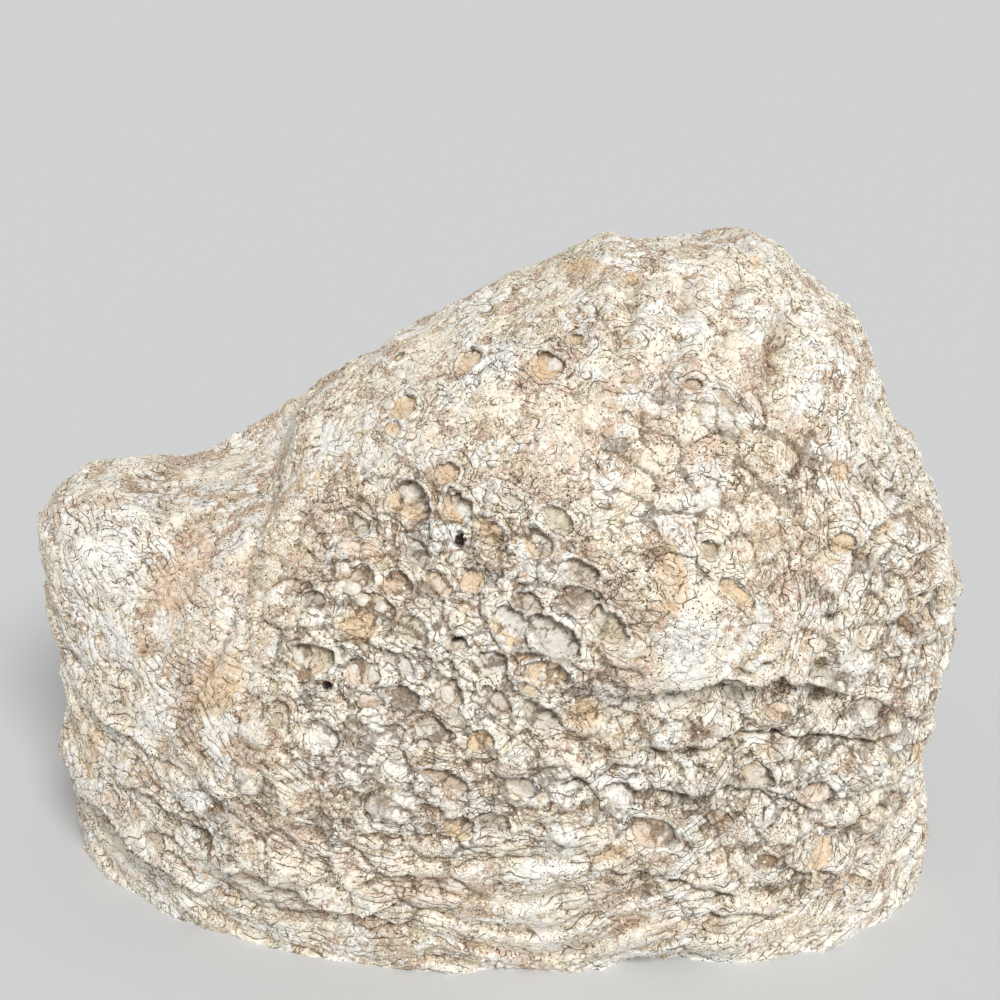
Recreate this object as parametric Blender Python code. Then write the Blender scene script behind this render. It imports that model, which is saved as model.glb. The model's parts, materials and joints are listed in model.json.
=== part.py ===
"""Fossil coral head: one loose block of coral limestone, modelled as one solid.

The block is about 172 mm wide, 123 mm tall and 98 mm deep, and stands on a flat base. A sphere is
pulled to its outline from the front and to a superellipse section from front to back. Then come its
swellings and hollows, growth ledges, creases, coral cups and nodules, and the base is cut flat.

Frame: metres, +Z up, the front faces -Y, and the origin is under the block's middle, on its base.
The tables are in millimetres, with X across and Z up on the block's front or back.
"""

import math
from collections import namedtuple
from random import Random

import bmesh
import bpy
import numpy as np
from mathutils import Vector, noise
from mathutils.bvhtree import BVHTree

MM = 0.001
NODE_NAME = "coral_head"
COLLECTION_NAME = "fossil_coral_head"
STONE_COLOUR = (0.62, 0.54, 0.43, 1.0)
STONE_ROUGHNESS = 0.9

# The shift in x and y, in mm, that puts the finished block's middle over the origin.
PLAN_SHIFT = (0.5, 0.7)

# The block's section from front to back, in mm: the waist is its thickest height, and the top
# leans back.
WAIST_HEIGHT = 45.0
FRONT_DEPTH = 49.0
BACK_DEPTH = 45.0
LEAN_BACK = 9.0
LEAN_TOP = 125.0

# Exponents of the section: a low one makes a bevelled flank, a high one a square one, and the
# corners of the foot are squarer by FOOT_SQUARENESS.
LEFT_FRONT_EXPONENT = 1.5
RIGHT_FRONT_EXPONENT = 2.4
FOOT_SQUARENESS = 0.5
BACK_TOP_EXPONENT = 2.1
BACK_SIDE_EXPONENT = 2.6

# The outline from the front as (x, z), from the right foot over the top to the left foot, and on
# below the floor, where the base is cut off.
OUTLINE = (
    (82, 0), (82.5, 9), (81.5, 20), (79, 27), (82.5, 38), (84, 48), (84.5, 57), (83.5, 65),
    (81.5, 72), (79, 79), (76.5, 85), (73, 89.5), (70.5, 94), (68.5, 100), (65.5, 106),
    (60.5, 112), (55.5, 116.5), (51, 120.5), (45, 123), (36, 121.5), (27, 120.5), (20, 122),
    (13, 118), (5.5, 114.5), (-2, 111.5), (-10, 107.5), (-17, 104), (-24, 99.5), (-31, 95.5),
    (-37.5, 91), (-40, 84.5), (-42.5, 78), (-50, 75), (-57, 74.5), (-65, 75), (-72, 76.5),
    (-79, 75.5), (-84.5, 72), (-86.5, 65), (-86, 56), (-85, 45), (-84.5, 33), (-84, 22),
    (-83.5, 11), (-82.5, 0), (-80, -15), (-68, -30), (-40, -42), (0, -45), (40, -42), (70, -30),
    (83, -15),
)
OUTLINE_BLUR_ANGLE = 0.45
OUTLINE_BLUR_STEPS = 9
OUTLINE_SHARP_FROM = 0.82

# Swellings (rise above 0) and hollows of the front, with half sizes across and up.
Swell = namedtuple("Swell", "name x z across up turn rise")
SWELLS = (
    Swell("left belly", -40.5, 43.5, 19, 11, 0, 4.0),
    Swell("brow belly", 33.5, 73, 21, 11, 0, 4.0),
    Swell("cup hollow", -17, 82, 13, 10, 0, -2.0),
    Swell("brow shade", 35.5, 53, 20, 6, 0, -3.0),
    Swell("low shade", 34.5, 36, 12, 5, 0, -2.5),
    Swell("right lobe", 76, 20, 10, 17, 0, -4.5),
    Swell("left foot", -73, 8, 13, 10, -35, -3.0),
    Swell("middle foot", -36, 9, 22, 7, -8, -2.0),
    Swell("shoulder", -75, 70, 10, 12, 0, 2.0),
    Swell("flank trough", -58.5, 66, 6, 18, 0, -1.8),
    Swell("crown", 24, 111, 22, 11, 0, 2.0),
    Swell("middle trough", 15, 53, 12, 6, -15, -2.5),
    Swell("right cheek", 72, 66, 9, 20, 0, 2.5),
    Swell("base arch", 29, 0, 9, 5, 0, -7.0),
)

# Growth ledges of the front, each from left to right: what is above the line overhangs by lip mm,
# and what is below it steps back by drop mm.
Ledge = namedtuple("Ledge", "name lip drop line")
LEDGES = (
    Ledge("brow", 3.4, 4.2, ((16.5, 57.5), (21, 59), (29.5, 60.5), (36, 62.5), (43.5, 62),
                             (46.5, 62.5), (52, 59), (58, 55.5), (63.5, 56))),
    Ledge("under brow", 1.8, 2.4, ((34, 59.5), (37.5, 58), (43.5, 60), (51.5, 58.5))),
    Ledge("crevice", 3.6, 4.4, ((59, 34), (64, 38.5), (67.5, 39.5), (75.5, 41), (81, 44))),
    Ledge("long ledge", 2.8, 3.6, ((25, 39.5), (28, 40), (31.5, 39), (37, 40.5), (42.5, 38.5))),
    Ledge("thin ledge", 1.8, 2.0, ((42, 40.5), (46.5, 38.5), (50, 39), (57.5, 37.5))),
    Ledge("fourth ledge", 2.0, 2.4, ((37.5, 49), (45, 49.5), (54.5, 47), (65, 44.5), (70, 44))),
    Ledge("flank crease", 2.4, 2.8, ((60, 76.5), (60.5, 79), (66, 82.5), (77.5, 82.5), (81, 83))),
    Ledge("flank upper", 1.6, 2.0, ((64, 85.5), (69.5, 87), (75, 89))),
    Ledge("flank middle", 2.0, 2.4, ((70, 67), (76, 69), (82, 70), (86, 70))),
    Ledge("flank low", 2.0, 2.4, ((66, 57), (71, 59.5), (77, 61), (82, 61), (86, 60))),
    Ledge("flank inner", 1.8, 2.0, ((53, 69), (59, 69), (63, 69.5))),
    Ledge("cheek", 1.8, 2.0, ((37, 64.5), (42, 64.5), (48, 67.5), (51.5, 71.5), (54, 73.5))),
    Ledge("foot ledge", 3.4, 4.6, ((-84, 28), (-79.5, 23), (-73, 20.5), (-65, 16), (-57.5, 12),
                                   (-50, 9))),
    Ledge("foot right", 3.0, 4.0, ((-54, 19), (-47, 20), (-39, 20), (-32, 16), (-25.5, 14.5),
                                   (-16, 16.5))),
    Ledge("foot upper", 1.6, 1.8, ((-74, 31), (-68.5, 28.5), (-58.5, 27), (-49.5, 23))),
    Ledge("middle arc", 1.6, 1.8, ((7.5, 44.5), (11, 42.5), (18, 44), (22.5, 47))),
    Ledge("crumbly ledge", 1.8, 1.8, ((-63, 73), (-56, 74), (-48, 76))),
    Ledge("cup brow", 1.6, 1.8, ((-25.5, 54), (-21, 55.5), (-19, 57.5))),
)
LIP_REACH = 9.0
DROP_REACH = 8.0
LEDGE_TAPER = 9.0
LEDGE_EDGE = 1.6
OVERHANG_SHARE = 0.35

# Creases and grooves of the front.
Groove = namedtuple("Groove", "name depth width line")
GROOVES = (
    Groove("left rib", 1.5, 2.2, ((32.5, 121), (32, 118), (30.5, 112))),
    Groove("right rib", 1.8, 2.4, ((42.5, 121.5), (40.5, 118), (38.5, 112))),
    Groove("crown arc", 1.6, 2.2, ((49.5, 117), (52, 114), (50.5, 111), (44.5, 107))),
    Groove("flank crease", 2.2, 3.5, ((-43.5, 83), (-43.5, 76), (-45, 69.5), (-48, 61.5),
                                      (-55, 48), (-63, 35))),
    Groove("right seam", 2.2, 3.0, ((61.5, 36), (57.5, 32), (59, 27), (67, 20.5), (63, 12))),
)

# Coral cups and pits of the front: half lengths along and across, the turn of the long axis (down
# to the right above 0), and the depth.
Cup = namedtuple("Cup", "name x z along across turn depth")
CUPS = (
    Cup("peak cup", -6, 106, 3.5, 2.8, 30, 3.5),
    Cup("pair cup", -17.5, 98, 3.6, 3.2, 10, 2.4),
    Cup("teardrop", -9.5, 91, 2.8, 2.0, -35, 3.2),
    Cup("great cup", -16, 85, 4.8, 3.8, 10, 5.0),
    Cup("septa cup", -8, 86, 3.5, 3.3, 10, 4.2),
    Cup("olive cup", -25.5, 80, 3.6, 2.2, 10, 3.2),
    Cup("grey flat", -15, 78, 3.6, 2.4, 25, 2.4),
    Cup("two beads", -25, 73.5, 3.5, 2.4, 5, 2.8),
    Cup("brown cup", -18, 73, 2.9, 2.5, 10, 3.2),
    Cup("nested arcs", -11, 74.5, 3.6, 2.2, 10, 2.8),
    Cup("orange small", -4.5, 76, 2.6, 2.4, 10, 2.4),
    Cup("long beads", -21.5, 70, 4.2, 2.2, 15, 2.8),
    Cup("green shallow", -15, 67, 3.6, 2.8, 30, 2.4),
    Cup("black slot", -8, 66.5, 2.2, 1.6, 0, 3.5),
    Cup("orange heart", -33, 60, 4.9, 3.6, 0, 4.8),
    Cup("bead bowl", -24, 59, 3.8, 2.6, 0, 2.4),
    Cup("slant groove", -17.5, 62, 3.6, 1.9, 35, 2.5),
    Cup("grey bowl", -16, 56, 2.9, 2.7, 10, 2.6),
    Cup("slab cup", -9, 58, 3.1, 3.1, 10, 3.8),
    Cup("white bowl", -20.5, 49.5, 3.7, 2.8, 10, 2.2),
    Cup("pale bowl", -31, 48, 3.7, 3.2, 10, 2.2),
    Cup("arc grey", -12, 50.5, 4.0, 2.6, 20, 3.0),
    Cup("orange round", -3, 50, 2.5, 2.2, 0, 2.8),
    Cup("brown slant", -0.5, 57, 3.7, 1.8, 50, 3.0),
    Cup("grey arcs", -1.5, 64, 3.0, 2.2, 10, 2.5),
    Cup("ringed cup", 1, 70, 4.4, 3.3, 35, 3.8),
    Cup("great grey", 8.5, 68.5, 5.2, 3.7, 30, 4.6),
    Cup("lip orange", 7.5, 62.5, 3.9, 2.7, 5, 4.4),
    Cup("ring orange", -2, 84, 3.4, 2.5, 25, 2.5),
    Cup("yellow grey", 9, 86.5, 3.0, 2.1, 20, 2.5),
    Cup("bead orange", 6, 83, 3.6, 2.7, 35, 3.3),
    Cup("grey mouth", 13, 80, 3.7, 2.3, 10, 3.8),
    Cup("brown low", 4.5, 74.5, 2.8, 2.1, 20, 2.8),
    Cup("pink grey", 13.5, 75, 4.0, 2.5, 25, 3.0),
    Cup("green slant", 17.5, 71, 4.4, 2.6, 40, 3.4),
    Cup("upper slab", 7.5, 107.5, 4.0, 2.9, 5, 3.2),
    Cup("tan hole", 32.5, 106, 2.2, 1.6, 0, 2.8),
    Cup("side pit", 35, 82.5, 1.7, 1.8, 0, 2.8),
    Cup("yellow pit", 58.5, 80, 1.8, 1.8, 0, 2.4),
    Cup("orange streak", 39.5, 76, 4.4, 1.8, 45, 2.0),
    Cup("pale hollow", 64, 49, 4.8, 2.8, 0, 2.2),
    Cup("lip cup", 44, 41, 3.2, 3.0, 50, 3.0),
    Cup("pale scoop", 20.5, 38, 3.6, 3.3, 20, 3.0),
    Cup("tan scoop", 26, 31, 4.9, 3.0, 30, 3.0),
    Cup("tan bowl", 55, 36, 4.6, 2.9, 0, 2.6),
    Cup("low bowl", 57, 22, 4.0, 3.6, 0, 2.0),
    Cup("olive pit", -7, 33.5, 3.0, 2.8, 0, 3.6),
    Cup("grey wall", -2, 34.5, 3.6, 2.5, 10, 3.0),
    Cup("brown trench", -9, 42, 4.7, 2.1, 20, 3.8),
    Cup("grey brown", 2.5, 41, 3.6, 2.7, 35, 3.0),
    Cup("long grey", 7, 54, 4.6, 2.6, 30, 3.8),
    Cup("foot hollow", -47, 17.5, 5.2, 2.8, 5, 4.0),
    Cup("foot brown", -39, 16, 3.8, 2.1, 15, 3.0),
    Cup("dark hollow", -64, 14, 3.4, 2.2, 45, 4.0),
)
RIM_SHARE = 0.16
RIM_PLACE = 1.25
RIM_WIDTH = 0.22
CUP_TILT = (0.18, 0.0, 0.30)

# Pale nodules that stand out of the front.
Nodule = namedtuple("Nodule", "name x z along across turn rise")
NODULES = (
    Nodule("upper egg", 36.5, 101.5, 4.2, 2.6, 40, 1.8),
    Nodule("middle egg", 35, 89.5, 2.4, 2.9, 0, 1.6),
    Nodule("round egg", 24.5, 97, 2.8, 3.2, 0, 1.6),
    Nodule("left disc", -42.5, 47.5, 3.4, 2.6, 0, 1.5),
    Nodule("low disc", -44, 38.5, 2.6, 3.0, 0, 1.5),
    Nodule("long dome", -18.5, 36.5, 5.0, 3.2, -10, 1.8),
)

# Finish of the back and sides: seeded pits, and growth ledges that run round the back.
BACK_SEED = 23
BACK_PIT_COUNT = 46
BACK_PIT_FIELD = (-74, 74, 8, 104)
BACK_PIT_WIDTHS = (0.6, 0.95)
BACK_PIT_TURN = 40
BACK_PIT_SIZES = (1.9, 4.2)
BACK_PIT_DEPTHS = (1.4, 3.2)
BACK_LEDGES = (
    Ledge("back crown ledge", 1.8, 2.4, ((52, 96), (30, 90), (8, 87), (-14, 84), (-34, 78))),
    Ledge("back waist ledge", 2.4, 3.0, ((74, 64), (56, 58), (32, 53), (4, 52), (-26, 55),
                                         (-52, 60), (-72, 62))),
    Ledge("back low ledge", 2.2, 3.0, ((72, 28), (52, 24), (26, 20), (-8, 21), (-40, 27),
                                       (-64, 33))),
    Ledge("back foot ledge", 1.6, 2.0, ((60, 9), (30, 6), (-6, 8), (-38, 12))),
)

# Lumps all over: wavelength and height in mm.
LUMPS = ((26.0, 1.6), (11.0, 1.1), (5.5, 0.5))

# Growth bands: arcs round a point high on the block, that show from a little way below it.
BAND_CENTRE = (-8.0, 96.0)
BAND_FLATTEN = 1.15
BAND_START = 44.0
BAND_FULL = 74.0
BAND_SPACING = 6.5
BAND_HEIGHT = 0.75
BAND_STEEPNESS = 0.6
BAND_WANDER = 6.0
BAND_WANDER_SIZE = 24.0
BAND_PATCH_SIZE = 17.0
BAND_PATCH_RANGE = (0.7, 1.2)

# Scalloped relief, where small cups crowd together: a height and where it is full, as (x, z,
# half width, half height) on the front.
SCALLOP_SIZE = 6.5
SCALLOP_DEPTH = 1.5
SCALLOP_RIDGE = 0.45
SCALLOP_FIELD_EDGE = (0.7, 1.15)
SCALLOP_FIELDS = ((-10, 62, 40, 34), (44, 34, 44, 26), (-30, 26, 36, 20), (70, 70, 22, 24))

# How far a face must turn to the front (as the normal's share) to take the front's own forms.
FRONT_TURN = (0.0, 0.4)

# A place on a face is found by looking at the block from this far out, in mm.
LOOK_FROM = 200.0

# Building: a first cut below the floor, the thinning of the triangles, and then the flat base.
SPHERE_SUBDIVISIONS = 7
FIRST_CUT = -2.0
TRIANGLES_WANTED = 9700
FRONT_WEIGHT = 0.5
BACK_TURN = (-0.3, 0.4)
PLAIN_SIDE_STRENGTH = 0.005
SHARP_ANGLE = 60.0


def smooth_step(low, high, value):
    """Rise smoothly from 0 at low to 1 at high."""
    share = np.clip((value - low) / (high - low), 0, 1)
    return share * share * (3 - 2 * share)


def outline_radius(angle):
    """Distance from the waist's middle to the outline, for an array of angles."""
    points = np.array(OUTLINE, dtype=float)
    heights = points[:, 1] - WAIST_HEIGHT
    angles = np.arctan2(heights, points[:, 0])
    radii = np.hypot(points[:, 0], heights)
    order = np.argsort(angles)
    return np.interp(angle, angles[order], radii[order], period=2 * math.pi)


def section_radius(angle, equator):
    """Follow the outline's own steps at the block's edge, and a blurred outline on its faces."""
    offsets = np.linspace(-OUTLINE_BLUR_ANGLE, OUTLINE_BLUR_ANGLE, OUTLINE_BLUR_STEPS)
    blurred = sum(outline_radius(angle + offset) for offset in offsets) / OUTLINE_BLUR_STEPS
    sharp = smooth_step(OUTLINE_SHARP_FROM, 1.0, equator)
    return blurred + (outline_radius(angle) - blurred) * sharp


def body_points(directions):
    """Take unit directions to points on the block's smooth form, in mm."""
    x, y, z = directions.T
    angle = np.arctan2(z, x)
    equator = np.clip(np.hypot(x, z), 0, 1)
    depth = np.clip(np.abs(y), 0, 1)
    left = 0.5 - 0.5 * np.cos(angle)
    front_exponent = RIGHT_FRONT_EXPONENT + (LEFT_FRONT_EXPONENT - RIGHT_FRONT_EXPONENT) * left
    front_exponent += FOOT_SQUARENESS * np.clip(-np.sin(angle), 0, 1) * np.abs(np.cos(angle))
    sideways = np.cos(angle) ** 2
    back_exponent = BACK_TOP_EXPONENT + (BACK_SIDE_EXPONENT - BACK_TOP_EXPONENT) * sideways
    exponent = np.where(y < 0, front_exponent, back_exponent)
    reach = section_radius(angle, equator) * equator ** (2 / exponent)
    thickness = np.where(y < 0, -FRONT_DEPTH, BACK_DEPTH) * depth ** (2 / exponent)
    height = WAIST_HEIGHT + reach * np.sin(angle)
    lean = LEAN_BACK * np.clip(height / LEAN_TOP, 0, 1) ** 2
    return np.stack([reach * np.cos(angle), lean + thickness, height], axis=1)


def read_vertices(mesh):
    """Return a mesh's vertices as an array of points in mm."""
    flat = np.empty(len(mesh.vertices) * 3)
    mesh.vertices.foreach_get("co", flat)
    return flat.reshape(-1, 3) / MM


def write_vertices(mesh, points):
    """Put an array of points in mm back into a mesh."""
    mesh.vertices.foreach_set("co", (points * MM).ravel())
    mesh.update()


def read_normals(mesh):
    """Return a mesh's vertex normals as an array."""
    flat = np.empty(len(mesh.vertices) * 3)
    mesh.vertex_normals.foreach_get("vector", flat)
    return flat.reshape(-1, 3)


def surface_tree(mesh):
    """Return a search tree of a mesh, in metres."""
    corners = [vertex.co.copy() for vertex in mesh.vertices]
    faces = [tuple(face.vertices) for face in mesh.polygons]
    return BVHTree.FromPolygons(corners, faces)


def on_face(tree, x, z, front=True):
    """Return the point and normal of the front or back face at x and z, in mm."""
    way = 1 if front else -1
    start = Vector((x, -way * LOOK_FROM, z)) * MM
    point, normal, _, _ = tree.ray_cast(start, Vector((0, way, 0)))
    if point is None:
        point, normal, _, _ = tree.find_nearest(Vector((x, 0, z)) * MM)
    return np.array(point) / MM, np.array(normal)


def patch_axes(normal, turn):
    """Return the long and short directions of a patch on a face, turned clockwise by turn degrees."""
    across = np.cross(normal, (0, 0, 1.0))
    across /= np.linalg.norm(across)
    up = np.cross(across, -normal)
    if up[2] < 0:
        up = -up
    if across[0] * -normal[1] < 0:
        across = -across
    angle = math.radians(turn)
    long_axis = across * math.cos(angle) - up * math.sin(angle)
    short_axis = across * math.sin(angle) + up * math.cos(angle)
    return long_axis, short_axis


def patch_distance(points, centre, normal, along, across, turn):
    """Return how far each point is from a patch's middle, 1 at its edge, in the patch's own plane."""
    long_axis, short_axis = patch_axes(normal, turn)
    offset = points - centre
    flat = np.hypot(offset @ long_axis / along, offset @ short_axis / across)
    return np.where(np.abs(offset @ normal) < 3 * max(along, across), flat, np.inf)


def swell_moves(points, normals, tree):
    """Rise or sink the front by its swellings and hollows."""
    moves = np.zeros_like(points)
    facing = smooth_step(*FRONT_TURN, -normals[:, 1])
    for swell in SWELLS:
        centre, normal = on_face(tree, swell.x, swell.z)
        far = patch_distance(points, centre, normal, swell.across, swell.up, swell.turn)
        moves += normals * (swell.rise * np.exp(-np.minimum(far, 9) ** 2) * facing)[:, None]
    return moves


def lump_moves(points, normals):
    """Move every point by the block's own lumps."""
    heights = np.zeros(len(points))
    for wavelength, height in LUMPS:
        values = [noise.noise(Vector(point) / wavelength) for point in points]
        heights += height * np.array(values)
    return normals * heights[:, None]


def band_moves(points, normals):
    """Raise the growth bands, which wander like the edges of old layers."""
    across = (points[:, 0] - BAND_CENTRE[0]) / BAND_FLATTEN
    out = np.hypot(across, points[:, 2] - BAND_CENTRE[1])
    wander = np.array([noise.noise(Vector(point) / BAND_WANDER_SIZE) for point in points])
    phase = 2 * math.pi * (out + BAND_WANDER * wander) / BAND_SPACING
    wave = np.sin(phase + BAND_STEEPNESS * np.sin(phase))
    patches = np.array([noise.noise(Vector(point) / BAND_PATCH_SIZE) for point in points])
    strength = BAND_PATCH_RANGE[0] + BAND_PATCH_RANGE[1] * patches
    heights = BAND_HEIGHT * wave * smooth_step(BAND_START, BAND_FULL, out) * strength
    return normals * heights[:, None]


def scallop_moves(points, normals):
    """Sink the cells of a scalloped relief, and leave the thin ridges between them."""
    field = np.zeros(len(points))
    for x, z, half_width, half_height in SCALLOP_FIELDS:
        far = np.hypot((points[:, 0] - x) / half_width, (points[:, 2] - z) / half_height)
        field = np.maximum(field, 1 - smooth_step(*SCALLOP_FIELD_EDGE, far))
    field *= smooth_step(*FRONT_TURN, -normals[:, 1])
    heights = np.zeros(len(points))
    for index in np.flatnonzero(field > 0):
        distances, _ = noise.voronoi(Vector(points[index]) / SCALLOP_SIZE)
        inside = min((distances[1] - distances[0]) / SCALLOP_RIDGE, 1)
        heights[index] = -SCALLOP_DEPTH * field[index] * inside
    return normals * heights[:, None]


def nearest_on_line(points, line):
    """Return each point's offset from a line, the line's direction there, and the way along it."""
    best = np.full(len(points), np.inf)
    offsets = np.zeros_like(points)
    directions = np.zeros_like(points)
    travel = np.zeros(len(points))
    start_length = 0.0
    for start, end in zip(line[:-1], line[1:]):
        step = end - start
        length = np.linalg.norm(step)
        share = np.clip((points - start) @ step / length ** 2, 0, 1)
        offset = points - start - share[:, None] * step
        distance = np.linalg.norm(offset, axis=1)
        closer = distance < best
        best[closer] = distance[closer]
        offsets[closer] = offset[closer]
        directions[closer] = step / length
        travel[closer] = start_length + share[closer] * length
        start_length += length
    ends = np.minimum(travel, start_length - travel)
    return offsets, directions, best, smooth_step(0, LEDGE_TAPER, ends)


def ledge_moves(points, normals, tree, ledges, front=True):
    """Push out what is above each ledge, and set back what is below it."""
    moves = np.zeros_like(points)
    for ledge in ledges:
        line = np.array([on_face(tree, x, z, front)[0] for x, z in ledge.line])
        offsets, directions, distance, taper = nearest_on_line(points, line)
        upward = np.cross(normals, directions)
        upward /= np.maximum(np.linalg.norm(upward, axis=1), 1e-6)[:, None]
        above = np.einsum("ij,ij->i", offsets, upward)
        overhead = smooth_step(-LEDGE_EDGE, LEDGE_EDGE, above)
        lip = ledge.lip * np.clip(1 - distance / LIP_REACH, 0, 1) ** 2 * overhead
        drop = ledge.drop * np.clip(1 - distance / DROP_REACH, 0, 1) ** 2 * (1 - overhead)
        moves += normals * ((lip - drop) * taper)[:, None]
        moves -= upward * (lip * OVERHANG_SHARE * taper)[:, None]
    return moves


def groove_moves(points, normals, tree):
    """Sink the creases and grooves of the front."""
    moves = np.zeros_like(points)
    for groove in GROOVES:
        line = np.array([on_face(tree, x, z)[0] for x, z in groove.line])
        _, _, distance, taper = nearest_on_line(points, line)
        depth = groove.depth * np.exp(-(distance / groove.width) ** 2) * taper
        moves -= normals * depth[:, None]
    return moves


def pit_moves(points, cup, centre, normal):
    """Sink one cup, tilted so that its upper edge overhangs, with a low rim round it."""
    far = patch_distance(points, centre, normal, cup.along, cup.across, cup.turn)
    bowl = cup.depth * np.sqrt(np.clip(1 - np.minimum(far, 1) ** 2, 0, 1))
    rim = RIM_SHARE * cup.depth * np.exp(-((np.minimum(far, 9) - RIM_PLACE) / RIM_WIDTH) ** 2)
    return (rim - bowl)[:, None] * normal + bowl[:, None] * np.array(CUP_TILT)


def cup_moves(points, tree):
    """Sink the named cups of the front."""
    moves = np.zeros_like(points)
    for cup in CUPS:
        centre, normal = on_face(tree, cup.x, cup.z)
        moves += pit_moves(points, cup, centre, normal)
    return moves


def nodule_moves(points, tree):
    """Raise the pale nodules of the front."""
    moves = np.zeros_like(points)
    for nodule in NODULES:
        centre, normal = on_face(tree, nodule.x, nodule.z)
        far = patch_distance(points, centre, normal, nodule.along, nodule.across, nodule.turn)
        dome = nodule.rise * np.sqrt(np.clip(1 - np.minimum(far, 1) ** 2, 0, 1))
        moves += dome[:, None] * normal
    return moves


def back_pit_moves(points, tree):
    """Sink seeded pits over the back."""
    draw = Random(BACK_SEED)
    moves = np.zeros_like(points)
    for _ in range(BACK_PIT_COUNT):
        x = draw.uniform(*BACK_PIT_FIELD[:2])
        z = draw.uniform(*BACK_PIT_FIELD[2:])
        size = draw.uniform(*BACK_PIT_SIZES)
        depth = draw.uniform(*BACK_PIT_DEPTHS)
        centre, normal = on_face(tree, x, z, front=False)
        if np.linalg.norm(centre - (x, centre[1], z)) > size:
            continue
        width = size * draw.uniform(*BACK_PIT_WIDTHS)
        turn = draw.uniform(-BACK_PIT_TURN, BACK_PIT_TURN)
        pit = Cup("back pit", x, z, size, width, turn, depth)
        moves += pit_moves(points, pit, centre, normal)
    return moves


def cut_flat(mesh, height):
    """Cut the block off at a height in mm and close the cut with a flat face."""
    work = bmesh.new()
    work.from_mesh(mesh)
    geometry = work.verts[:] + work.edges[:] + work.faces[:]
    cut = bmesh.ops.bisect_plane(
        work, geom=geometry, plane_co=(0, 0, height * MM), plane_no=(0, 0, 1), clear_inner=True)
    rim = [item for item in cut["geom_cut"] if isinstance(item, bmesh.types.BMEdge)]
    bmesh.ops.contextual_create(work, geom=rim)
    bmesh.ops.triangulate(work, faces=[face for face in work.faces if len(face.verts) > 3])
    bmesh.ops.recalc_face_normals(work, faces=work.faces[:])
    work.to_mesh(mesh)
    work.free()


def build_block():
    """Return the block's mesh, with all its forms."""
    work = bmesh.new()
    bmesh.ops.create_icosphere(work, subdivisions=SPHERE_SUBDIVISIONS, radius=MM)
    mesh = bpy.data.meshes.new(NODE_NAME)
    work.to_mesh(mesh)
    work.free()
    write_vertices(mesh, body_points(read_vertices(mesh)))
    points, normals, tree = read_vertices(mesh), read_normals(mesh), surface_tree(mesh)
    write_vertices(mesh, points + swell_moves(points, normals, tree) + lump_moves(points, normals))
    points, normals, tree = read_vertices(mesh), read_normals(mesh), surface_tree(mesh)
    moves = ledge_moves(points, normals, tree, LEDGES)
    moves += ledge_moves(points, normals, tree, BACK_LEDGES, front=False)
    moves += groove_moves(points, normals, tree)
    moves += cup_moves(points, tree)
    moves += nodule_moves(points, tree)
    moves += band_moves(points, normals)
    moves += scallop_moves(points, normals)
    moves += back_pit_moves(points, tree)
    write_vertices(mesh, points + moves + (*PLAN_SHIFT, 0))
    cut_flat(mesh, FIRST_CUT)
    return mesh


def thin_out(block):
    """Merge the block's triangles where it is plainest, a little more on the back."""
    mesh = block.data
    plain = block.vertex_groups.new(name="plain back")
    backward = smooth_step(*BACK_TURN, read_normals(mesh)[:, 1])
    for index, share in enumerate(backward):
        plain.add([index], FRONT_WEIGHT + (1 - FRONT_WEIGHT) * float(share), "REPLACE")
    thin = block.modifiers.new("Fewer triangles", "DECIMATE")
    thin.ratio = TRIANGLES_WANTED / len(mesh.polygons)
    thin.vertex_group = plain.name
    thin.vertex_group_factor = PLAIN_SIDE_STRENGTH
    depsgraph = bpy.context.evaluated_depsgraph_get()
    block.data = bpy.data.meshes.new_from_object(block.evaluated_get(depsgraph))
    block.modifiers.clear()
    block.vertex_groups.clear()
    bpy.data.meshes.remove(mesh)


def make_material():
    """Return the pale limestone's material."""
    material = bpy.data.materials.new("limestone")
    material.use_nodes = True
    shader = material.node_tree.nodes["Principled BSDF"]
    shader.inputs["Base Color"].default_value = STONE_COLOUR
    shader.inputs["Roughness"].default_value = STONE_ROUGHNESS
    shader.inputs["Metallic"].default_value = 0.0
    return material


def main():
    """Clear the scene and build the block in it."""
    for old in list(bpy.data.objects):
        bpy.data.objects.remove(old, do_unlink=True)
    collection = bpy.data.collections.new(COLLECTION_NAME)
    bpy.context.scene.collection.children.link(collection)
    block = bpy.data.objects.new(NODE_NAME, build_block())
    collection.objects.link(block)
    thin_out(block)
    cut_flat(block.data, 0)
    block.data.name = NODE_NAME
    block.data.materials.append(make_material())
    block.data.shade_smooth()
    block.data.set_sharp_from_angle(angle=math.radians(SHARP_ANGLE))


main()
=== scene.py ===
"""Fossil coral head: the finished look of one loose block of coral limestone.

The block's smooth body is pulled to its outline, then worked: swellings and lumps, growth ledges,
creases, coral cups, scalloped cells, growth bands and a crumbled crust. White calcite beads sit in
its cups, and small grains cling to its crust.

Lengths are in millimetres and places are (x, z) on the block's front or back, unless a name ends
in _M, which is in metres.
"""

import json
import logging
import math
from dataclasses import dataclass
from dataclasses import field
from enum import Enum
from random import Random
from typing import Iterable
from typing import NamedTuple

import bmesh
import bpy
import numpy as np
from bpy.types import Material
from bpy.types import Mesh
from bpy.types import NodeSocket
from bpy.types import Object
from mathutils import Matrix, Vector
from mathutils import noise
from mathutils.bvhtree import BVHTree

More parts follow.
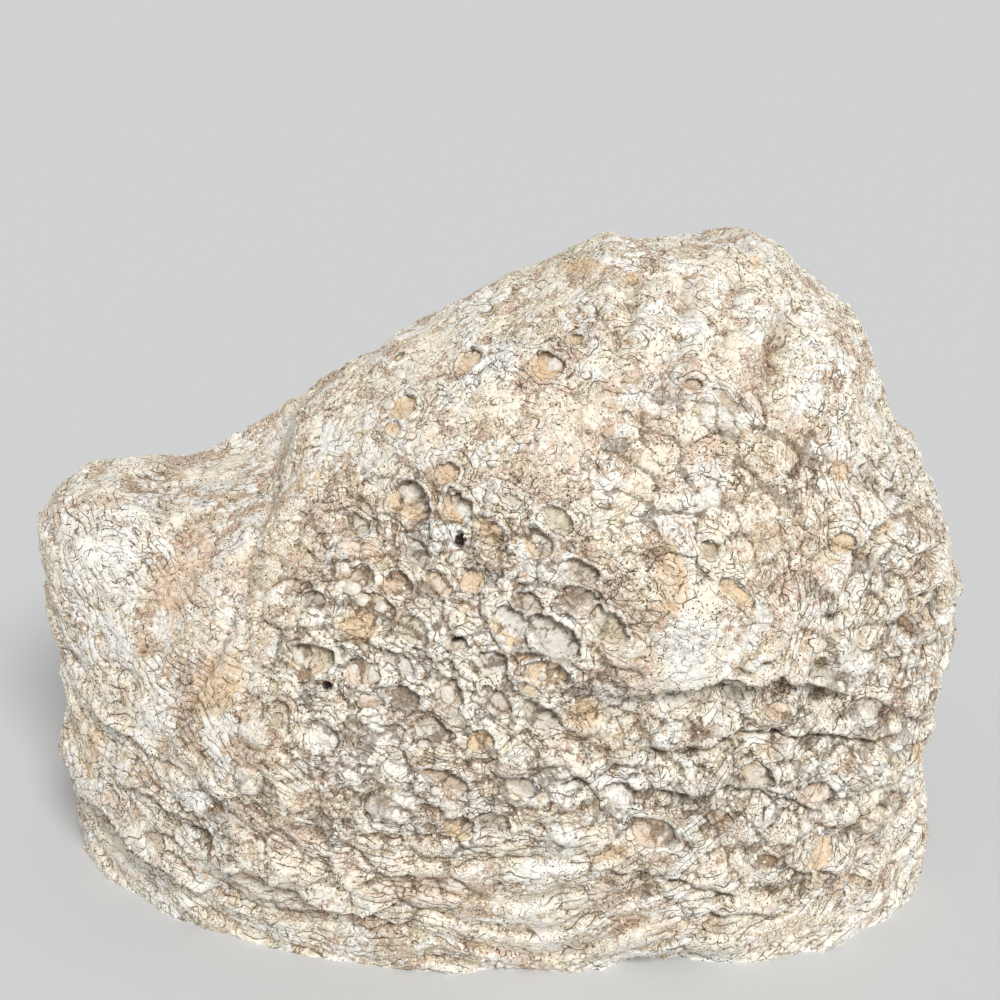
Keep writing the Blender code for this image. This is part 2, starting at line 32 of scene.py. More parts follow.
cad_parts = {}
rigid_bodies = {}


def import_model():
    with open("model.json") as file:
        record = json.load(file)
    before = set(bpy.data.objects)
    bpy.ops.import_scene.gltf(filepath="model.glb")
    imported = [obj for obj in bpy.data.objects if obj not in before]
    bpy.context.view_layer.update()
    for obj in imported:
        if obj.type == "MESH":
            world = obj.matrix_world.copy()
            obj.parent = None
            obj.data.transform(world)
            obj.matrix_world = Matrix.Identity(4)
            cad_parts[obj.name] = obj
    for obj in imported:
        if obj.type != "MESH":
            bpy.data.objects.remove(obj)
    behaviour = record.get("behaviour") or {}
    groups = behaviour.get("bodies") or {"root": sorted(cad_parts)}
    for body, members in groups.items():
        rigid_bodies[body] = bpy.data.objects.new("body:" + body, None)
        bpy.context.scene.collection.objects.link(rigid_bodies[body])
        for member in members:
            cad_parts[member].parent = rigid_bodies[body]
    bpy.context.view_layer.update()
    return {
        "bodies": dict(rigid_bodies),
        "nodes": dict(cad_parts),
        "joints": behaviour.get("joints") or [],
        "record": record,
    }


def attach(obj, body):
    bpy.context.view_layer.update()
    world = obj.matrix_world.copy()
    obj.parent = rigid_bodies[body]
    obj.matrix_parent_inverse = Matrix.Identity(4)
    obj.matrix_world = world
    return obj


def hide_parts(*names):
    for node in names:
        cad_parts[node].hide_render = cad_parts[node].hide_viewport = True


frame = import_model()

LOG = logging.getLogger("coral_head")
MM = 0.001
CAD_NODE = "coral_head"

Place = tuple[float, float]
Colour = tuple[float, float, float]
Grid = np.ndarray

# The shift in x and y that puts the finished block's middle over the origin.
PLAN_SHIFT = (0.5, 0.7)

# A place on a face is found by looking at the block from this far out.
LOOK_FROM = 200.0

# The seed of the noise that bends cells and flakes, which otherwise starts from the clock.
NOISE_SEED = 11

# Worked points are kept to this many digits of a mm, so that every run gives the same ones.
KEPT_DIGITS = 6

# The flat base is what lies lower than this.
FLAT_BASE = 1e-3

# How far apart in mm the ridges round the cups lie, and the thin growth layers.
RING_SPACING = 1.25
LAMINA_SPACING = 1.45

# The distance in mm that stands for no cup near.
FAR_FROM_CUPS = 20.0

# The marks that keep where each point of the block came from on the sphere.
DIRECTION_MARKS = ("rightward", "backward", "upward")

# How far a face must turn to the front, as its normal's share, to take the front's own forms.
FRONT_TURN = (0.0, 0.4)


class Tint(Enum):
    """The stains and fillings that colour the limestone, and the painted shade laid on it, each by the
    name of its mesh attribute.
    """

    OCHRE = "ochre"
    PEACH = "peach"
    BROWN = "brown"
    OLIVE = "olive"
    GREY = "grey"
    WHITE = "white"
    # Painted shade: dark in the slits under ledges, along creases, under cup arches, round bead seats
    # and in scallop creases.
    DARK = "dark"
    # Painted shade: the deepest holes are painted near black.
    BLACK = "black"


class Swell(NamedTuple):
    """A broad swelling of the front, or a hollow where rise is below 0."""

    name: str
    x: float
    z: float
    across: float
    up: float
    turn: float
    rise: float


class Ledge(NamedTuple):
    """A growth ledge: the stone above its line overhangs by lip, and below it steps back by drop."""

    name: str
    lip: float
    drop: float
    line: tuple[Place, ...]


class Groove(NamedTuple):
    """A crease along a line."""

    name: str
    depth: float
    width: float
    line: tuple[Place, ...]


class Cup(NamedTuple):
    """A coral cup or pit: half lengths, turn of the long axis, depth, stains and radial septa."""

    name: str
    x: float
    z: float
    along: float
    across: float
    turn: float
    depth: float
    tints: tuple[Tint, ...] = ()
    septa: int = 0


class Nodule(NamedTuple):
    """A pale nodule that stands out of the front."""

    name: str
    x: float
    z: float
    along: float
    across: float
    turn: float
    rise: float


class Patch(NamedTuple):
    """A stained area, full in its middle and faded at its edge."""

    name: str
    x: float
    z: float
    across: float
    up: float
    turn: float
    tint: Tint
    strength: float


class Bead(NamedTuple):
    """A white calcite bead that sits in the block: its half lengths and turn."""

    name: str
    x: float
    z: float
    along: float
    across: float
    turn: float


OUTLINE = (
    (82, 0), (82.5, 9), (81.5, 20), (79, 27), (82.5, 38), (84, 48), (84.5, 57), (83.5, 65),
    (81.5, 72), (79, 79), (76.5, 85), (73, 89.5), (70.5, 94), (68.5, 100), (65.5, 106),
    (60.5, 112), (55.5, 116.5), (51, 120.5), (45, 123), (36, 121.5), (27, 120.5), (20, 122),
    (13, 118), (5.5, 114.5), (-2, 111.5), (-10, 107.5), (-17, 104), (-24, 99.5), (-31, 95.5),
    (-37.5, 91), (-40, 84.5), (-42.5, 78), (-50, 75), (-57, 74.5), (-65, 75), (-72, 76.5),
    (-79, 75.5), (-84.5, 72), (-86.5, 65), (-86, 56), (-85, 45), (-84.5, 33), (-84, 22),
    (-83.5, 11), (-82.5, 0), (-80, -15), (-68, -30), (-40, -42), (0, -45), (40, -42), (70, -30),
    (83, -15),
)

SWELLS = (
    Swell("left belly", -40.5, 43.5, 19, 11, 0, 4.0),
    Swell("brow belly", 33.5, 73, 21, 11, 0, 4.0),
    Swell("cup hollow", -17, 82, 13, 10, 0, -2.0),
    Swell("brow shade", 35.5, 53, 20, 6, 0, -3.0),
    Swell("low shade", 34.5, 36, 12, 5, 0, -2.5),
    Swell("right lobe", 76, 20, 10, 17, 0, -4.5),
    Swell("left foot", -73, 8, 13, 10, -35, -3.0),
    Swell("middle foot", -36, 9, 22, 7, -8, -2.0),
    Swell("shoulder", -75, 70, 10, 12, 0, 2.0),
    Swell("flank trough", -58.5, 66, 6, 18, 0, -0.8),
    Swell("crown", 24, 111, 22, 11, 0, 2.0),
    Swell("middle trough", 15, 53, 12, 6, -15, -2.5),
    Swell("right cheek", 72, 66, 9, 20, 0, 2.5),
    Swell("base arch", 29, 0, 9, 5, 0, -7.0),
)

LEDGES = (
    Ledge("brow", 3.0, 3.4, ((16.5, 57.5), (21, 59), (29.5, 60.5), (36, 62.5), (43.5, 62),
                             (46.5, 62.5), (52, 59), (58, 55.5), (63.5, 56))),
    Ledge("under brow", 1.8, 2.4, ((34, 59.5), (37.5, 58), (43.5, 60), (51.5, 58.5))),
    Ledge("crevice", 3.6, 4.4, ((59, 34), (64, 38.5), (67.5, 39.5), (75.5, 41), (81, 44))),
    Ledge("long ledge", 2.2, 2.6, ((25, 39.5), (28, 40), (31.5, 39), (37, 40.5), (42.5, 38.5))),
    Ledge("thin ledge", 1.2, 1.4, ((42, 40.5), (46.5, 38.5), (50, 39), (57.5, 37.5))),
    Ledge("flank crease", 2.4, 2.8, ((60, 76.5), (60.5, 79), (66, 82.5), (77.5, 82.5), (81, 83))),
    Ledge("flank upper", 1.6, 2.0, ((64, 85.5), (69.5, 87), (75, 89))),
    Ledge("flank middle", 2.0, 2.4, ((70, 67), (76, 69), (82, 70), (86, 70))),
    Ledge("flank low", 2.0, 2.4, ((66, 57), (71, 59.5), (77, 61), (82, 61), (86, 60))),
    Ledge("flank inner", 1.8, 2.0, ((53, 69), (59, 69), (63, 69.5))),
    Ledge("cheek", 1.8, 2.0, ((37, 64.5), (42, 64.5), (48, 67.5), (51.5, 71.5), (54, 73.5))),
    Ledge("foot ledge", 3.4, 4.6, ((-84, 28), (-79.5, 23), (-73, 20.5), (-65, 16), (-57.5, 12),
                                   (-50, 9))),
    Ledge("foot right", 3.0, 4.0, ((-54, 19), (-47, 20), (-39, 20), (-32, 16), (-25.5, 14.5),
                                   (-16, 16.5))),
    Ledge("foot upper", 1.6, 1.8, ((-74, 31), (-68.5, 28.5), (-58.5, 27), (-49.5, 23))),
    Ledge("middle arc", 1.6, 1.8, ((7.5, 44.5), (11, 42.5), (18, 44), (22.5, 47))),
    Ledge("crumbly ledge", 0.9, 0.8, ((-63, 73), (-56, 74), (-48, 76))),
    Ledge("cup brow", 1.6, 1.8, ((-25.5, 54), (-21, 55.5), (-19, 57.5))),
)

FINE_LEDGES = (
    Ledge("flank top", 1.0, 1.2, ((62, 90), (65.5, 90.5), (68.5, 91), (71, 90.5))),
    Ledge("cheek upper", 1.0, 1.2, ((42.5, 76), (45, 77), (46.5, 78), (49.5, 78.5))),
    Ledge("middle arc upper", 1.0, 1.2, ((10, 52), (12.5, 50.5), (16, 50.5), (22, 50))),
    Ledge("inner ledge", 1.2, 1.4, ((24, 49.5), (27.5, 47.5), (30, 48.5))),
    Ledge("sole ledge", 1.0, 1.2, ((-27, 11.5), (-22.5, 11.5), (-18.5, 11), (-14, 13))),
    Ledge("left cheek", 0.9, 1.0, ((-44, 50.5), (-40, 53), (-39.5, 55.5), (-35, 57.5))),
    Ledge("brow hairline", 0.8, 0.9, ((35.5, 58.5), (41.5, 59), (46, 58))),
    Ledge("cheek shelf", 0.9, 1.0, ((52, 58.5), (57, 56), (63, 56), (68, 58))),
    Ledge("belly shelf", 1.2, 1.4, ((22, 48.5), (29, 47), (36, 48), (41, 50), (48, 49.5), (56, 47.5),
                                    (69, 43.5), (72.5, 44.5))),
    Ledge("hip shelf", 1.0, 1.2, ((32, 39.5), (38.5, 41), (42, 39.5), (56, 33.5), (63, 34.5),
                                  (76.5, 32))),
    Ledge("sixth shelf", 0.9, 1.1, ((14, 27), (22, 24), (31, 22.5), (40, 19), (52, 17.5))),
    Ledge("seventh shelf", 0.8, 1.0, ((26, 13), (37, 15), (48, 11.5), (60, 13), (70, 18))),
    Ledge("flank shelf", 1.0, 1.3, ((70, 74), (75, 75.5), (80, 76.5))),
    Ledge("flank foot", 1.1, 1.4, ((70, 51), (76, 53), (82, 54.5))),
    Ledge("left shelf", 0.9, 1.1, ((-78, 42), (-72, 39), (-64, 38), (-56, 36))),
    Ledge("left low shelf", 0.9, 1.1, ((-66, 22), (-58, 19.5), (-50, 15.5), (-42, 13.5))),
)

BACK_LEDGES = (
    Ledge("back crown ledge", 1.8, 2.4, ((52, 96), (30, 90), (8, 87), (-14, 84), (-34, 78))),
    Ledge("back waist ledge", 2.4, 3.0, ((74, 64), (56, 58), (32, 53), (4, 52), (-26, 55),
                                         (-52, 60), (-72, 62))),
    Ledge("back low ledge", 2.2, 3.0, ((72, 28), (52, 24), (26, 20), (-8, 21), (-40, 27),
                                       (-64, 33))),
    Ledge("back foot ledge", 1.6, 2.0, ((60, 9), (30, 6), (-6, 8), (-38, 12))),
)

GROOVES = (
    Groove("left rib", 1.8, 2.2, ((32.5, 121), (32, 118), (30.5, 112), (27, 105), (22, 99))),
    Groove("right rib", 2.0, 2.4, ((42.5, 121.5), (40.5, 118), (38.5, 112), (36, 107))),
    Groove("inner rib", 1.5, 1.6, ((24, 120), (22.5, 116), (19, 110), (14, 105))),
    Groove("outer rib", 1.6, 1.8, ((50, 116), (48, 110), (46, 104), (46, 98))),
    Groove("crown arc", 1.6, 2.2, ((49.5, 117), (52, 114), (50.5, 111), (44.5, 107))),
    Groove("flank crease", 1.4, 1.4, ((-43.5, 83), (-43.5, 76), (-45, 69.5), (-48, 61.5),
                                      (-55, 48), (-63, 35))),
    Groove("lobe notch", 1.5, 3.0, ((66, 38.5), (72, 40.5), (78, 42.5), (83, 44.5), (85, 45.5))),
    Groove("right seam", 2.2, 3.0, ((61.5, 36), (57.5, 32), (59, 27), (67, 20.5), (63, 12))),
)

OCHRE_GREY = (Tint.OCHRE, Tint.GREY)

CUPS = (
    Cup("peak cup", -6, 106, 3.5, 2.8, 30, 3.5, (Tint.OCHRE,), 14),
    Cup("pair cup", -17.5, 98, 3.6, 3.2, 10, 2.4, (Tint.OCHRE,)),
    Cup("teardrop", -9.5, 91, 2.8, 2.0, -35, 3.2, (Tint.OCHRE,), 12),
    Cup("great cup", -16, 85, 4.8, 3.8, 10, 5.0, OCHRE_GREY),
    Cup("septa cup", -8, 86, 3.5, 3.3, 10, 4.2, (Tint.OCHRE, Tint.PEACH), 22),
    Cup("olive cup", -25.5, 80, 3.6, 2.2, 10, 3.2, (Tint.OLIVE,)),
    Cup("grey flat", -15, 78, 3.6, 2.4, 25, 2.4, (Tint.GREY,)),
    Cup("two beads", -25, 73.5, 3.5, 2.4, 5, 2.8, (Tint.BROWN,)),
    Cup("brown cup", -18, 73, 2.9, 2.5, 10, 3.2, (Tint.BROWN, Tint.PEACH)),
    Cup("nested arcs", -11, 74.5, 3.6, 2.2, 10, 2.8, (Tint.PEACH,)),
    Cup("orange small", -4.5, 76, 2.6, 2.4, 10, 2.4, (Tint.OCHRE,)),
    Cup("long beads", -21.5, 70, 4.2, 2.2, 15, 2.8, (Tint.BROWN,)),
    Cup("green shallow", -15, 67, 3.6, 2.8, 30, 2.4, (Tint.OLIVE,)),
    Cup("black slot", -8, 66.5, 2.2, 1.6, 0, 3.5, (Tint.BROWN,)),
    Cup("orange heart", -33, 60, 4.9, 3.6, 0, 4.8, (Tint.OCHRE, Tint.OLIVE)),
    Cup("bead bowl", -24, 59, 3.8, 2.6, 0, 2.4, (Tint.PEACH,)),
    Cup("slant groove", -17.5, 62, 3.6, 1.9, 35, 2.5, (Tint.GREY,)),
    Cup("grey bowl", -16, 56, 2.9, 2.7, 10, 2.6, (Tint.GREY,)),
    Cup("slab cup", -9, 58, 3.1, 3.1, 10, 3.8, (Tint.BROWN,)),
    Cup("white bowl", -20.5, 49.5, 3.7, 2.8, 10, 2.2, (Tint.WHITE,)),
    Cup("pale bowl", -31, 48, 3.7, 3.2, 10, 2.2, (Tint.WHITE,)),
    Cup("arc grey", -12, 50.5, 4.0, 2.6, 20, 3.0, (Tint.GREY,)),
    Cup("orange round", -3, 50, 2.5, 2.2, 0, 2.8, (Tint.OCHRE,)),
    Cup("brown slant", -0.5, 57, 3.7, 1.8, 50, 3.0, (Tint.BROWN,)),
    Cup("grey arcs", -1.5, 64, 3.0, 2.2, 10, 2.5, (Tint.GREY,)),
    Cup("ringed cup", 1, 70, 4.4, 3.3, 35, 3.8, OCHRE_GREY),
    Cup("great grey", 8.5, 68.5, 5.2, 3.7, 30, 4.6, (Tint.GREY,)),
    Cup("lip orange", 7.5, 62.5, 3.9, 2.7, 5, 4.4, (Tint.OCHRE,)),
    Cup("ring orange", -2, 84, 3.4, 2.5, 25, 2.5, (Tint.OCHRE,)),
    Cup("yellow grey", 9, 86.5, 3.0, 2.1, 20, 2.5, (Tint.OLIVE,)),
    Cup("bead orange", 6, 83, 3.6, 2.7, 35, 3.3, OCHRE_GREY),
    Cup("grey mouth", 13, 80, 3.7, 2.3, 10, 3.8, (Tint.GREY,)),
    Cup("brown low", 4.5, 74.5, 2.8, 2.1, 20, 2.8, (Tint.BROWN,)),
    Cup("pink grey", 13.5, 75, 4.0, 2.5, 25, 3.0, (Tint.PEACH, Tint.GREY)),
    Cup("green slant", 17.5, 71, 4.4, 2.6, 40, 3.4, (Tint.OLIVE,)),
    Cup("upper slab", 7.5, 107.5, 4.0, 2.9, 5, 3.2, (Tint.OCHRE,)),
    Cup("tan hole", 32.5, 106, 2.2, 1.6, 0, 2.8, (Tint.BROWN,)),
    Cup("side pit", 35, 82.5, 1.7, 1.8, 0, 2.8, (Tint.BROWN,)),
    Cup("yellow pit", 58.5, 80, 1.8, 1.8, 0, 2.4, (Tint.OCHRE,)),
    Cup("orange streak", 39.5, 76, 4.4, 1.8, 45, 2.0, (Tint.OCHRE,)),
    Cup("pale hollow", 64, 49, 4.8, 2.8, 0, 2.2, (Tint.WHITE, Tint.GREY)),
    Cup("lip cup", 44, 41, 3.2, 3.0, 50, 3.0, (Tint.BROWN,)),
    Cup("pale scoop", 20.5, 38, 3.6, 3.3, 20, 3.0, (Tint.WHITE,)),
    Cup("tan scoop", 26, 31, 4.9, 3.0, 30, 3.0, (Tint.BROWN, Tint.PEACH)),
    Cup("tan bowl", 55, 36, 4.6, 2.9, 0, 2.6, (Tint.PEACH,)),
    Cup("low bowl", 57, 22, 4.0, 3.6, 0, 2.0, (Tint.OCHRE,)),
    Cup("olive pit", -7, 33.5, 3.0, 2.8, 0, 3.6, (Tint.OLIVE, Tint.OCHRE)),
    Cup("grey wall", -2, 34.5, 3.6, 2.5, 10, 3.0, (Tint.GREY,)),
    Cup("brown trench", -9, 42, 4.7, 2.1, 20, 3.8, (Tint.BROWN,)),
    Cup("grey brown", 2.5, 41, 3.6, 2.7, 35, 3.0, (Tint.GREY, Tint.BROWN)),
    Cup("long grey", 7, 54, 4.6, 2.6, 30, 3.8, (Tint.GREY,)),
    Cup("foot hollow", -47, 17.5, 5.2, 2.8, 5, 4.0, (Tint.PEACH,)),
    Cup("foot brown", -39, 16, 3.8, 2.1, 15, 3.0, (Tint.BROWN,)),
    Cup("dark hollow", -64, 14, 3.4, 2.2, 45, 4.0, (Tint.BROWN,)),
)

FINE_CUPS = (
    Cup("low pair cup", -18.5, 95.5, 2.2, 1.6, 10, 1.4, (Tint.OCHRE,)),
    # The black holes are deep pits, painted near black as shade.
    Cup("upper black hole", -7, 82, 1.0, 1.2, 0, 3.4, (Tint.BLACK,)),
    Cup("middle black hole", -8, 67, 1.2, 0.7, 0, 2.6, (Tint.BLACK,)),
    Cup("foot hollow", -71.5, 24, 2.0, 1.0, 20, 2.2, (Tint.BROWN,)),
    Cup("low foot hollow", -63, 18.5, 2.4, 1.2, 30, 2.4, (Tint.BROWN,)),
    Cup("pink cup", -5, 72.5, 2.0, 1.5, 10, 1.5, (Tint.PEACH,)),
    Cup("violet cup", -32.5, 69, 3.0, 2.0, 5, 1.5, (Tint.GREY,)),
    Cup("arc cup", -27.5, 62, 2.0, 1.5, 0, 1.6, (Tint.OLIVE,)),
    Cup("lower black hole", -30, 56.5, 1.0, 0.9, 0, 3.4, (Tint.BLACK,)),
    Cup("peach floor", -22.5, 55, 2.8, 1.7, 0, 1.4, (Tint.PEACH,)),
    Cup("coil", -39, 50, 1.5, 1.6, 0, 1.6, (Tint.BROWN,)),
    Cup("small slant", -7.5, 54, 2.2, 1.2, 35, 1.8, (Tint.GREY,)),
    Cup("ochre slant", 5, 60, 2.5, 1.2, 35, 1.6, (Tint.OCHRE,)),
    Cup("grey slot", 2, 89, 2.5, 1.1, 20, 1.8, (Tint.GREY,)),
    Cup("upper ochre cup", 12.5, 111.5, 1.8, 1.5, 0, 1.4, (Tint.OCHRE,)),
    Cup("brow wall", 36.5, 58, 3.1, 1.6, 0, 1.6, (Tint.BROWN,)),
    Cup("striped cup", 40, 55, 2.2, 1.5, 0, 1.4, (Tint.GREY,), 9),
    Cup("hook", 12, 59, 1.5, 1.6, 0, 1.6, (Tint.BROWN,)),
    Cup("upper foot hollow", -71.5, 23.5, 2.0, 1.5, 40, 2.2, (Tint.BROWN,)),
    Cup("brown hollow", -55.5, 27, 2.5, 1.4, 10, 2.0, (Tint.BROWN,)),
    Cup("brown groove", 38.5, 103.5, 3.6, 1.3, 45, 1.4, (Tint.BROWN,)),
    Cup("crown pit", 22, 112.5, 1.6, 1.2, 0, 1.0, (Tint.PEACH,)),
    Cup("brow pit", 19, 57.5, 1.1, 1.0, 0, 1.5, (Tint.BROWN,)),
    Cup("cheek pit", 28, 80.5, 1.0, 1.0, 0, 1.4, (Tint.BROWN,)),
    Cup("shelf cup", 48, 52, 2.6, 1.8, 10, 1.6, (Tint.PEACH,)),
    Cup("low shelf cup", 38, 33.5, 2.8, 2.0, 25, 1.8, (Tint.BROWN,)),
    Cup("deep shelf cup", 33.5, 36.8, 2.0, 1.6, 10, 2.4, (Tint.BROWN,)),
    Cup("foot shelf cup", 47, 24, 2.6, 2.0, 15, 1.6, (Tint.OCHRE,)),
    Cup("flank cup", 75, 64, 2.6, 1.7, -20, 1.6, (Tint.PEACH,)),
    Cup("lobe cup", 66, 12, 2.6, 1.8, 20, 1.6, ()),
    Cup("shoulder nick", -70, 71.5, 2.0, 1.2, 15, 1.2, (Tint.OLIVE,)),
)

NODULES = (
    Nodule("upper egg", 36.5, 101.5, 3.8, 2.4, 40, 1.2),
    Nodule("middle egg", 35, 89.5, 2.4, 2.9, 0, 1.1),
    Nodule("round egg", 25.5, 103.5, 1.7, 2.0, 0, 0.9),
    Nodule("twin egg", 39, 99, 2.0, 1.6, 30, 0.8),
    Nodule("left disc", -42.5, 47.5, 3.4, 2.6, 0, 1.5),
    Nodule("low disc", -44, 38.5, 2.6, 3.0, 0, 1.5),
    Nodule("long dome", -18.5, 36.5, 5.0, 3.2, -10, 1.8),
)

FINE_NODULES = (
    Nodule("crown egg", 18.5, 116, 1.2, 1.8, 0, 0.8),
    Nodule("low dome", -8.5, 37.5, 1.9, 2.3, 0, 1.0),
    Nodule("cheek dome", 44, 72, 2.2, 1.7, 20, 0.8),
    Nodule("brow dome", 22, 68, 2.4, 1.8, 10, 0.8),
    Nodule("shelf dome", 30, 51.5, 2.0, 1.5, 0, 0.9),
    Nodule("lobe dome", 54, 29, 2.2, 1.7, 0, 0.9),
)

BEADS = (
    Bead("oblong bead", -16.2, 86.6, 2.6, 1.2, 20),
    Bead("septa bead", -8, 88.6, 0.7, 0.7, 0),
    Bead("pair bead", -18, 101, 2.2, 1.2, 10),
    Bead("low pair bead", -19.7, 97.6, 1.7, 1.3, 0),
    Bead("left bead", -26.8, 74.2, 1.2, 1.3, 0),
    Bead("large bead", -25.6, 72, 2.1, 1.6, 0),
    Bead("middle bead", -23.7, 70.6, 1.5, 1.5, 0),
    Bead("right bead", -20.4, 70, 1.5, 1.2, 0),
    Bead("left heart", -34.8, 60.4, 1.3, 1.7, -20),
    Bead("right heart", -33.2, 59.9, 1.3, 1.7, 25),
    Bead("bowl bead", -25, 60, 1.0, 1.2, 0),
    Bead("long bowl bead", -21.6, 59.6, 1.5, 2.2, 0),
    Bead("small cup bead", -4.2, 73.6, 1.1, 1.3, 30),
    Bead("upper cup bead", 6, 83.8, 1.3, 1.0, 30),
    Bead("mouth bead", 10.5, 80.8, 1.1, 0.9, 0),
    Bead("lip bead", 7, 62.6, 1.0, 1.0, 0),
    Bead("slab", -9, 57.8, 1.7, 2.2, 0),
    Bead("upper slab bead", 9.4, 108.2, 1.8, 1.7, 0),
    Bead("foot bead", -34, 33, 0.7, 0.7, 0),
    Bead("upper slab dot", 6, 108.6, 0.7, 0.7, 0),
    Bead("ringed bead", 0, 68.5, 1.2, 0.9, 20),
    Bead("arc bead", -13, 48.6, 1.5, 1.1, 10),
    Bead("wall bead", -20, 53.6, 1.1, 0.8, 30),
    Bead("trench bead", -11, 40.6, 1.2, 0.9, 20),
)

PATCHES = (
    Patch("upper peach", -24, 77, 5, 2, 10, Tint.PEACH, 0.9),
    Patch("bead ochre", -24.5, 66.5, 3.6, 3, 0, Tint.OCHRE, 1.0),
    Patch("peak ochre", 14, 120.5, 7, 2.0, -14, Tint.OCHRE, 0.75),
    Patch("peak ochre spot", 24, 119.5, 2.2, 2.0, 0, Tint.OCHRE, 0.6),
    Patch("crown yellow", 44, 121.5, 2.2, 2, 0, Tint.OCHRE, 0.7),
    Patch("tan oval", 28.5, 79, 3, 7, 0, Tint.OCHRE, 0.8),
    Patch("brow peach", 20, 66, 6, 8, 20, Tint.PEACH, 0.6),
    Patch("yellow brown", 58, 91, 2, 2, 0, Tint.OCHRE, 0.8),
    Patch("tan right", 50.5, 96.5, 2.2, 5, 15, Tint.PEACH, 0.8),
    Patch("ochre line", 67, 81.5, 3, 1.6, 20, Tint.OCHRE, 0.9),
    Patch("ochre brown", 13.5, 54, 4.5, 3.6, 10, Tint.OCHRE, 0.8),
    Patch("middle brown", -13, 45.5, 3, 2, 0, Tint.BROWN, 0.7),
    Patch("granular ochre", -50.5, 52.5, 5.5, 8, 25, Tint.OCHRE, 0.75),
    Patch("foot tan", -76, 31.5, 3, 7, 15, Tint.OCHRE, 0.7),
    Patch("peach band", -57.5, 67, 5.0, 11, 12, Tint.PEACH, 0.75),
    Patch("crown blush", 26, 100, 28, 17, -10, Tint.PEACH, 0.42),
    Patch("cheek blush", 52, 86, 20, 15, 0, Tint.PEACH, 0.40),
    Patch("middle blush", -24, 88, 20, 11, -20, Tint.PEACH, 0.32),
    Patch("left blush", -46, 64, 13, 20, 10, Tint.PEACH, 0.44),
    Patch("flank blush", -66, 40, 13, 13, 0, Tint.PEACH, 0.38),
    Patch("low blush", -30, 28, 26, 9, 0, Tint.PEACH, 0.36),
    Patch("shoulder tan", -71.5, 76, 3, 2.6, 0, Tint.PEACH, 0.9),
    Patch("yellow crust", -42, 70.5, 7, 2.4, -10, Tint.OLIVE, 0.6),
    Patch("low yellow", 20, 27.5, 4.5, 2.2, 0, Tint.OCHRE, 0.6),
    Patch("upper white dab", -60, 71, 1.2, 2.2, 0, Tint.WHITE, 1.0),
    Patch("middle white dab", -61.5, 58, 1.4, 2.8, 0, Tint.WHITE, 1.0),
    Patch("low white dab", -62.5, 51, 1.7, 3.4, 20, Tint.WHITE, 1.0),
    Patch("ledge white", -59, 75, 4.5, 1.2, -5, Tint.WHITE, 1.0),
    Patch("shoulder white", -72.5, 67, 9, 8, 0, Tint.WHITE, 0.8),
    Patch("left white", -70, 52, 5, 4, 10, Tint.WHITE, 0.8),
    Patch("left low white", -63, 43, 4, 7, 15, Tint.WHITE, 0.75),
    Patch("cheek white", -50, 46, 4, 3, 0, Tint.WHITE, 0.7),
    Patch("upper pink", -12, 93, 12, 7, -10, Tint.PEACH, 0.35),
    Patch("left pink", -35.5, 84, 8, 9, 20, Tint.PEACH, 0.4),
    Patch("crown pink", 10, 99, 10, 6, 0, Tint.PEACH, 0.45),
    Patch("middle pink", 32, 86, 9, 4, -10, Tint.PEACH, 0.45),
    Patch("lobe grey", 70, 25, 7, 15, 10, Tint.GREY, 0.45),
    Patch("brow grey", 42, 56.5, 18, 3, 3, Tint.GREY, 0.45),
    Patch("low ochre", 33.5, 12, 9, 3, 5, Tint.OCHRE, 0.6),
    Patch("low tan", -12.5, 20, 14, 4, -5, Tint.PEACH, 0.6),
    Patch("edge ochre", 77, 36, 2.4, 5, 0, Tint.OCHRE, 0.9),
    Patch("foot pink", -20, 27, 14, 4, -5, Tint.PEACH, 0.45),
    Patch("shelf pink", 45, 34, 12, 4, 5, Tint.PEACH, 0.4),
    Patch("crown white", 38, 112, 14, 7, -10, Tint.WHITE, 0.2),
    Patch("brow white", 36, 70, 8, 4, 10, Tint.WHITE, 0.5),
    Patch("cup white", -14, 63, 6, 3, 10, Tint.WHITE, 0.6),
    Patch("low cup white", -6, 61, 3, 2.5, 0, Tint.WHITE, 0.6),
    Patch("middle white", -24, 44, 9, 5, 0, Tint.WHITE, 0.6),
)


def smooth_step(low: float, high: float, value: Grid) -> Grid:
    """Rise smoothly from 0 at low to 1 at high."""
    share = np.clip((value - low) / (high - low), 0, 1)
    return share * share * (3 - 2 * share)


def noise_values(points: Grid, size: float) -> Grid:
    """Return smooth noise of a given wavelength at each point, from about -1 to 1."""
    return np.array([noise.noise(Vector(point)) for point in points / size])


def read_points(mesh: Mesh) -> Grid:
    """Return a mesh's vertices as an array of points in mm."""
    flat = np.empty(len(mesh.vertices) * 3)
    mesh.vertices.foreach_get("co", flat)
    return flat.reshape(-1, 3) / MM


def read_triangles(mesh: Mesh) -> Grid:
    """Return the vertex numbers of a triangle mesh's faces."""
    flat = np.empty(len(mesh.loops), dtype=np.int64)
    mesh.loops.foreach_get("vertex_index", flat)
    return flat.reshape(-1, 3)


def write_points(mesh: Mesh, points: Grid) -> None:
    """Put an array of points in mm into a mesh."""
    mesh.vertices.foreach_set("co", (points * MM).ravel())
    mesh.update()


def face_vectors(points: Grid, triangles: Grid) -> Grid:
    """Return each triangle's normal, as long as twice its area."""
    first, second, third = (points[triangles[:, corner]] for corner in range(3))
    return np.cross(second - first, third - first)


def vertex_normals(points: Grid, triangles: Grid) -> Grid:
    """Return unit normals at the vertices, as the sum of their triangles' normals."""
    facing = face_vectors(points, triangles)
    total = np.zeros_like(points)
    for corner in range(3):
        for axis in range(3):
            total[:, axis] += np.bincount(
                triangles[:, corner], weights=facing[:, axis], minlength=len(points))
    return total / np.maximum(np.linalg.norm(total, axis=1), 1e-12)[:, None]


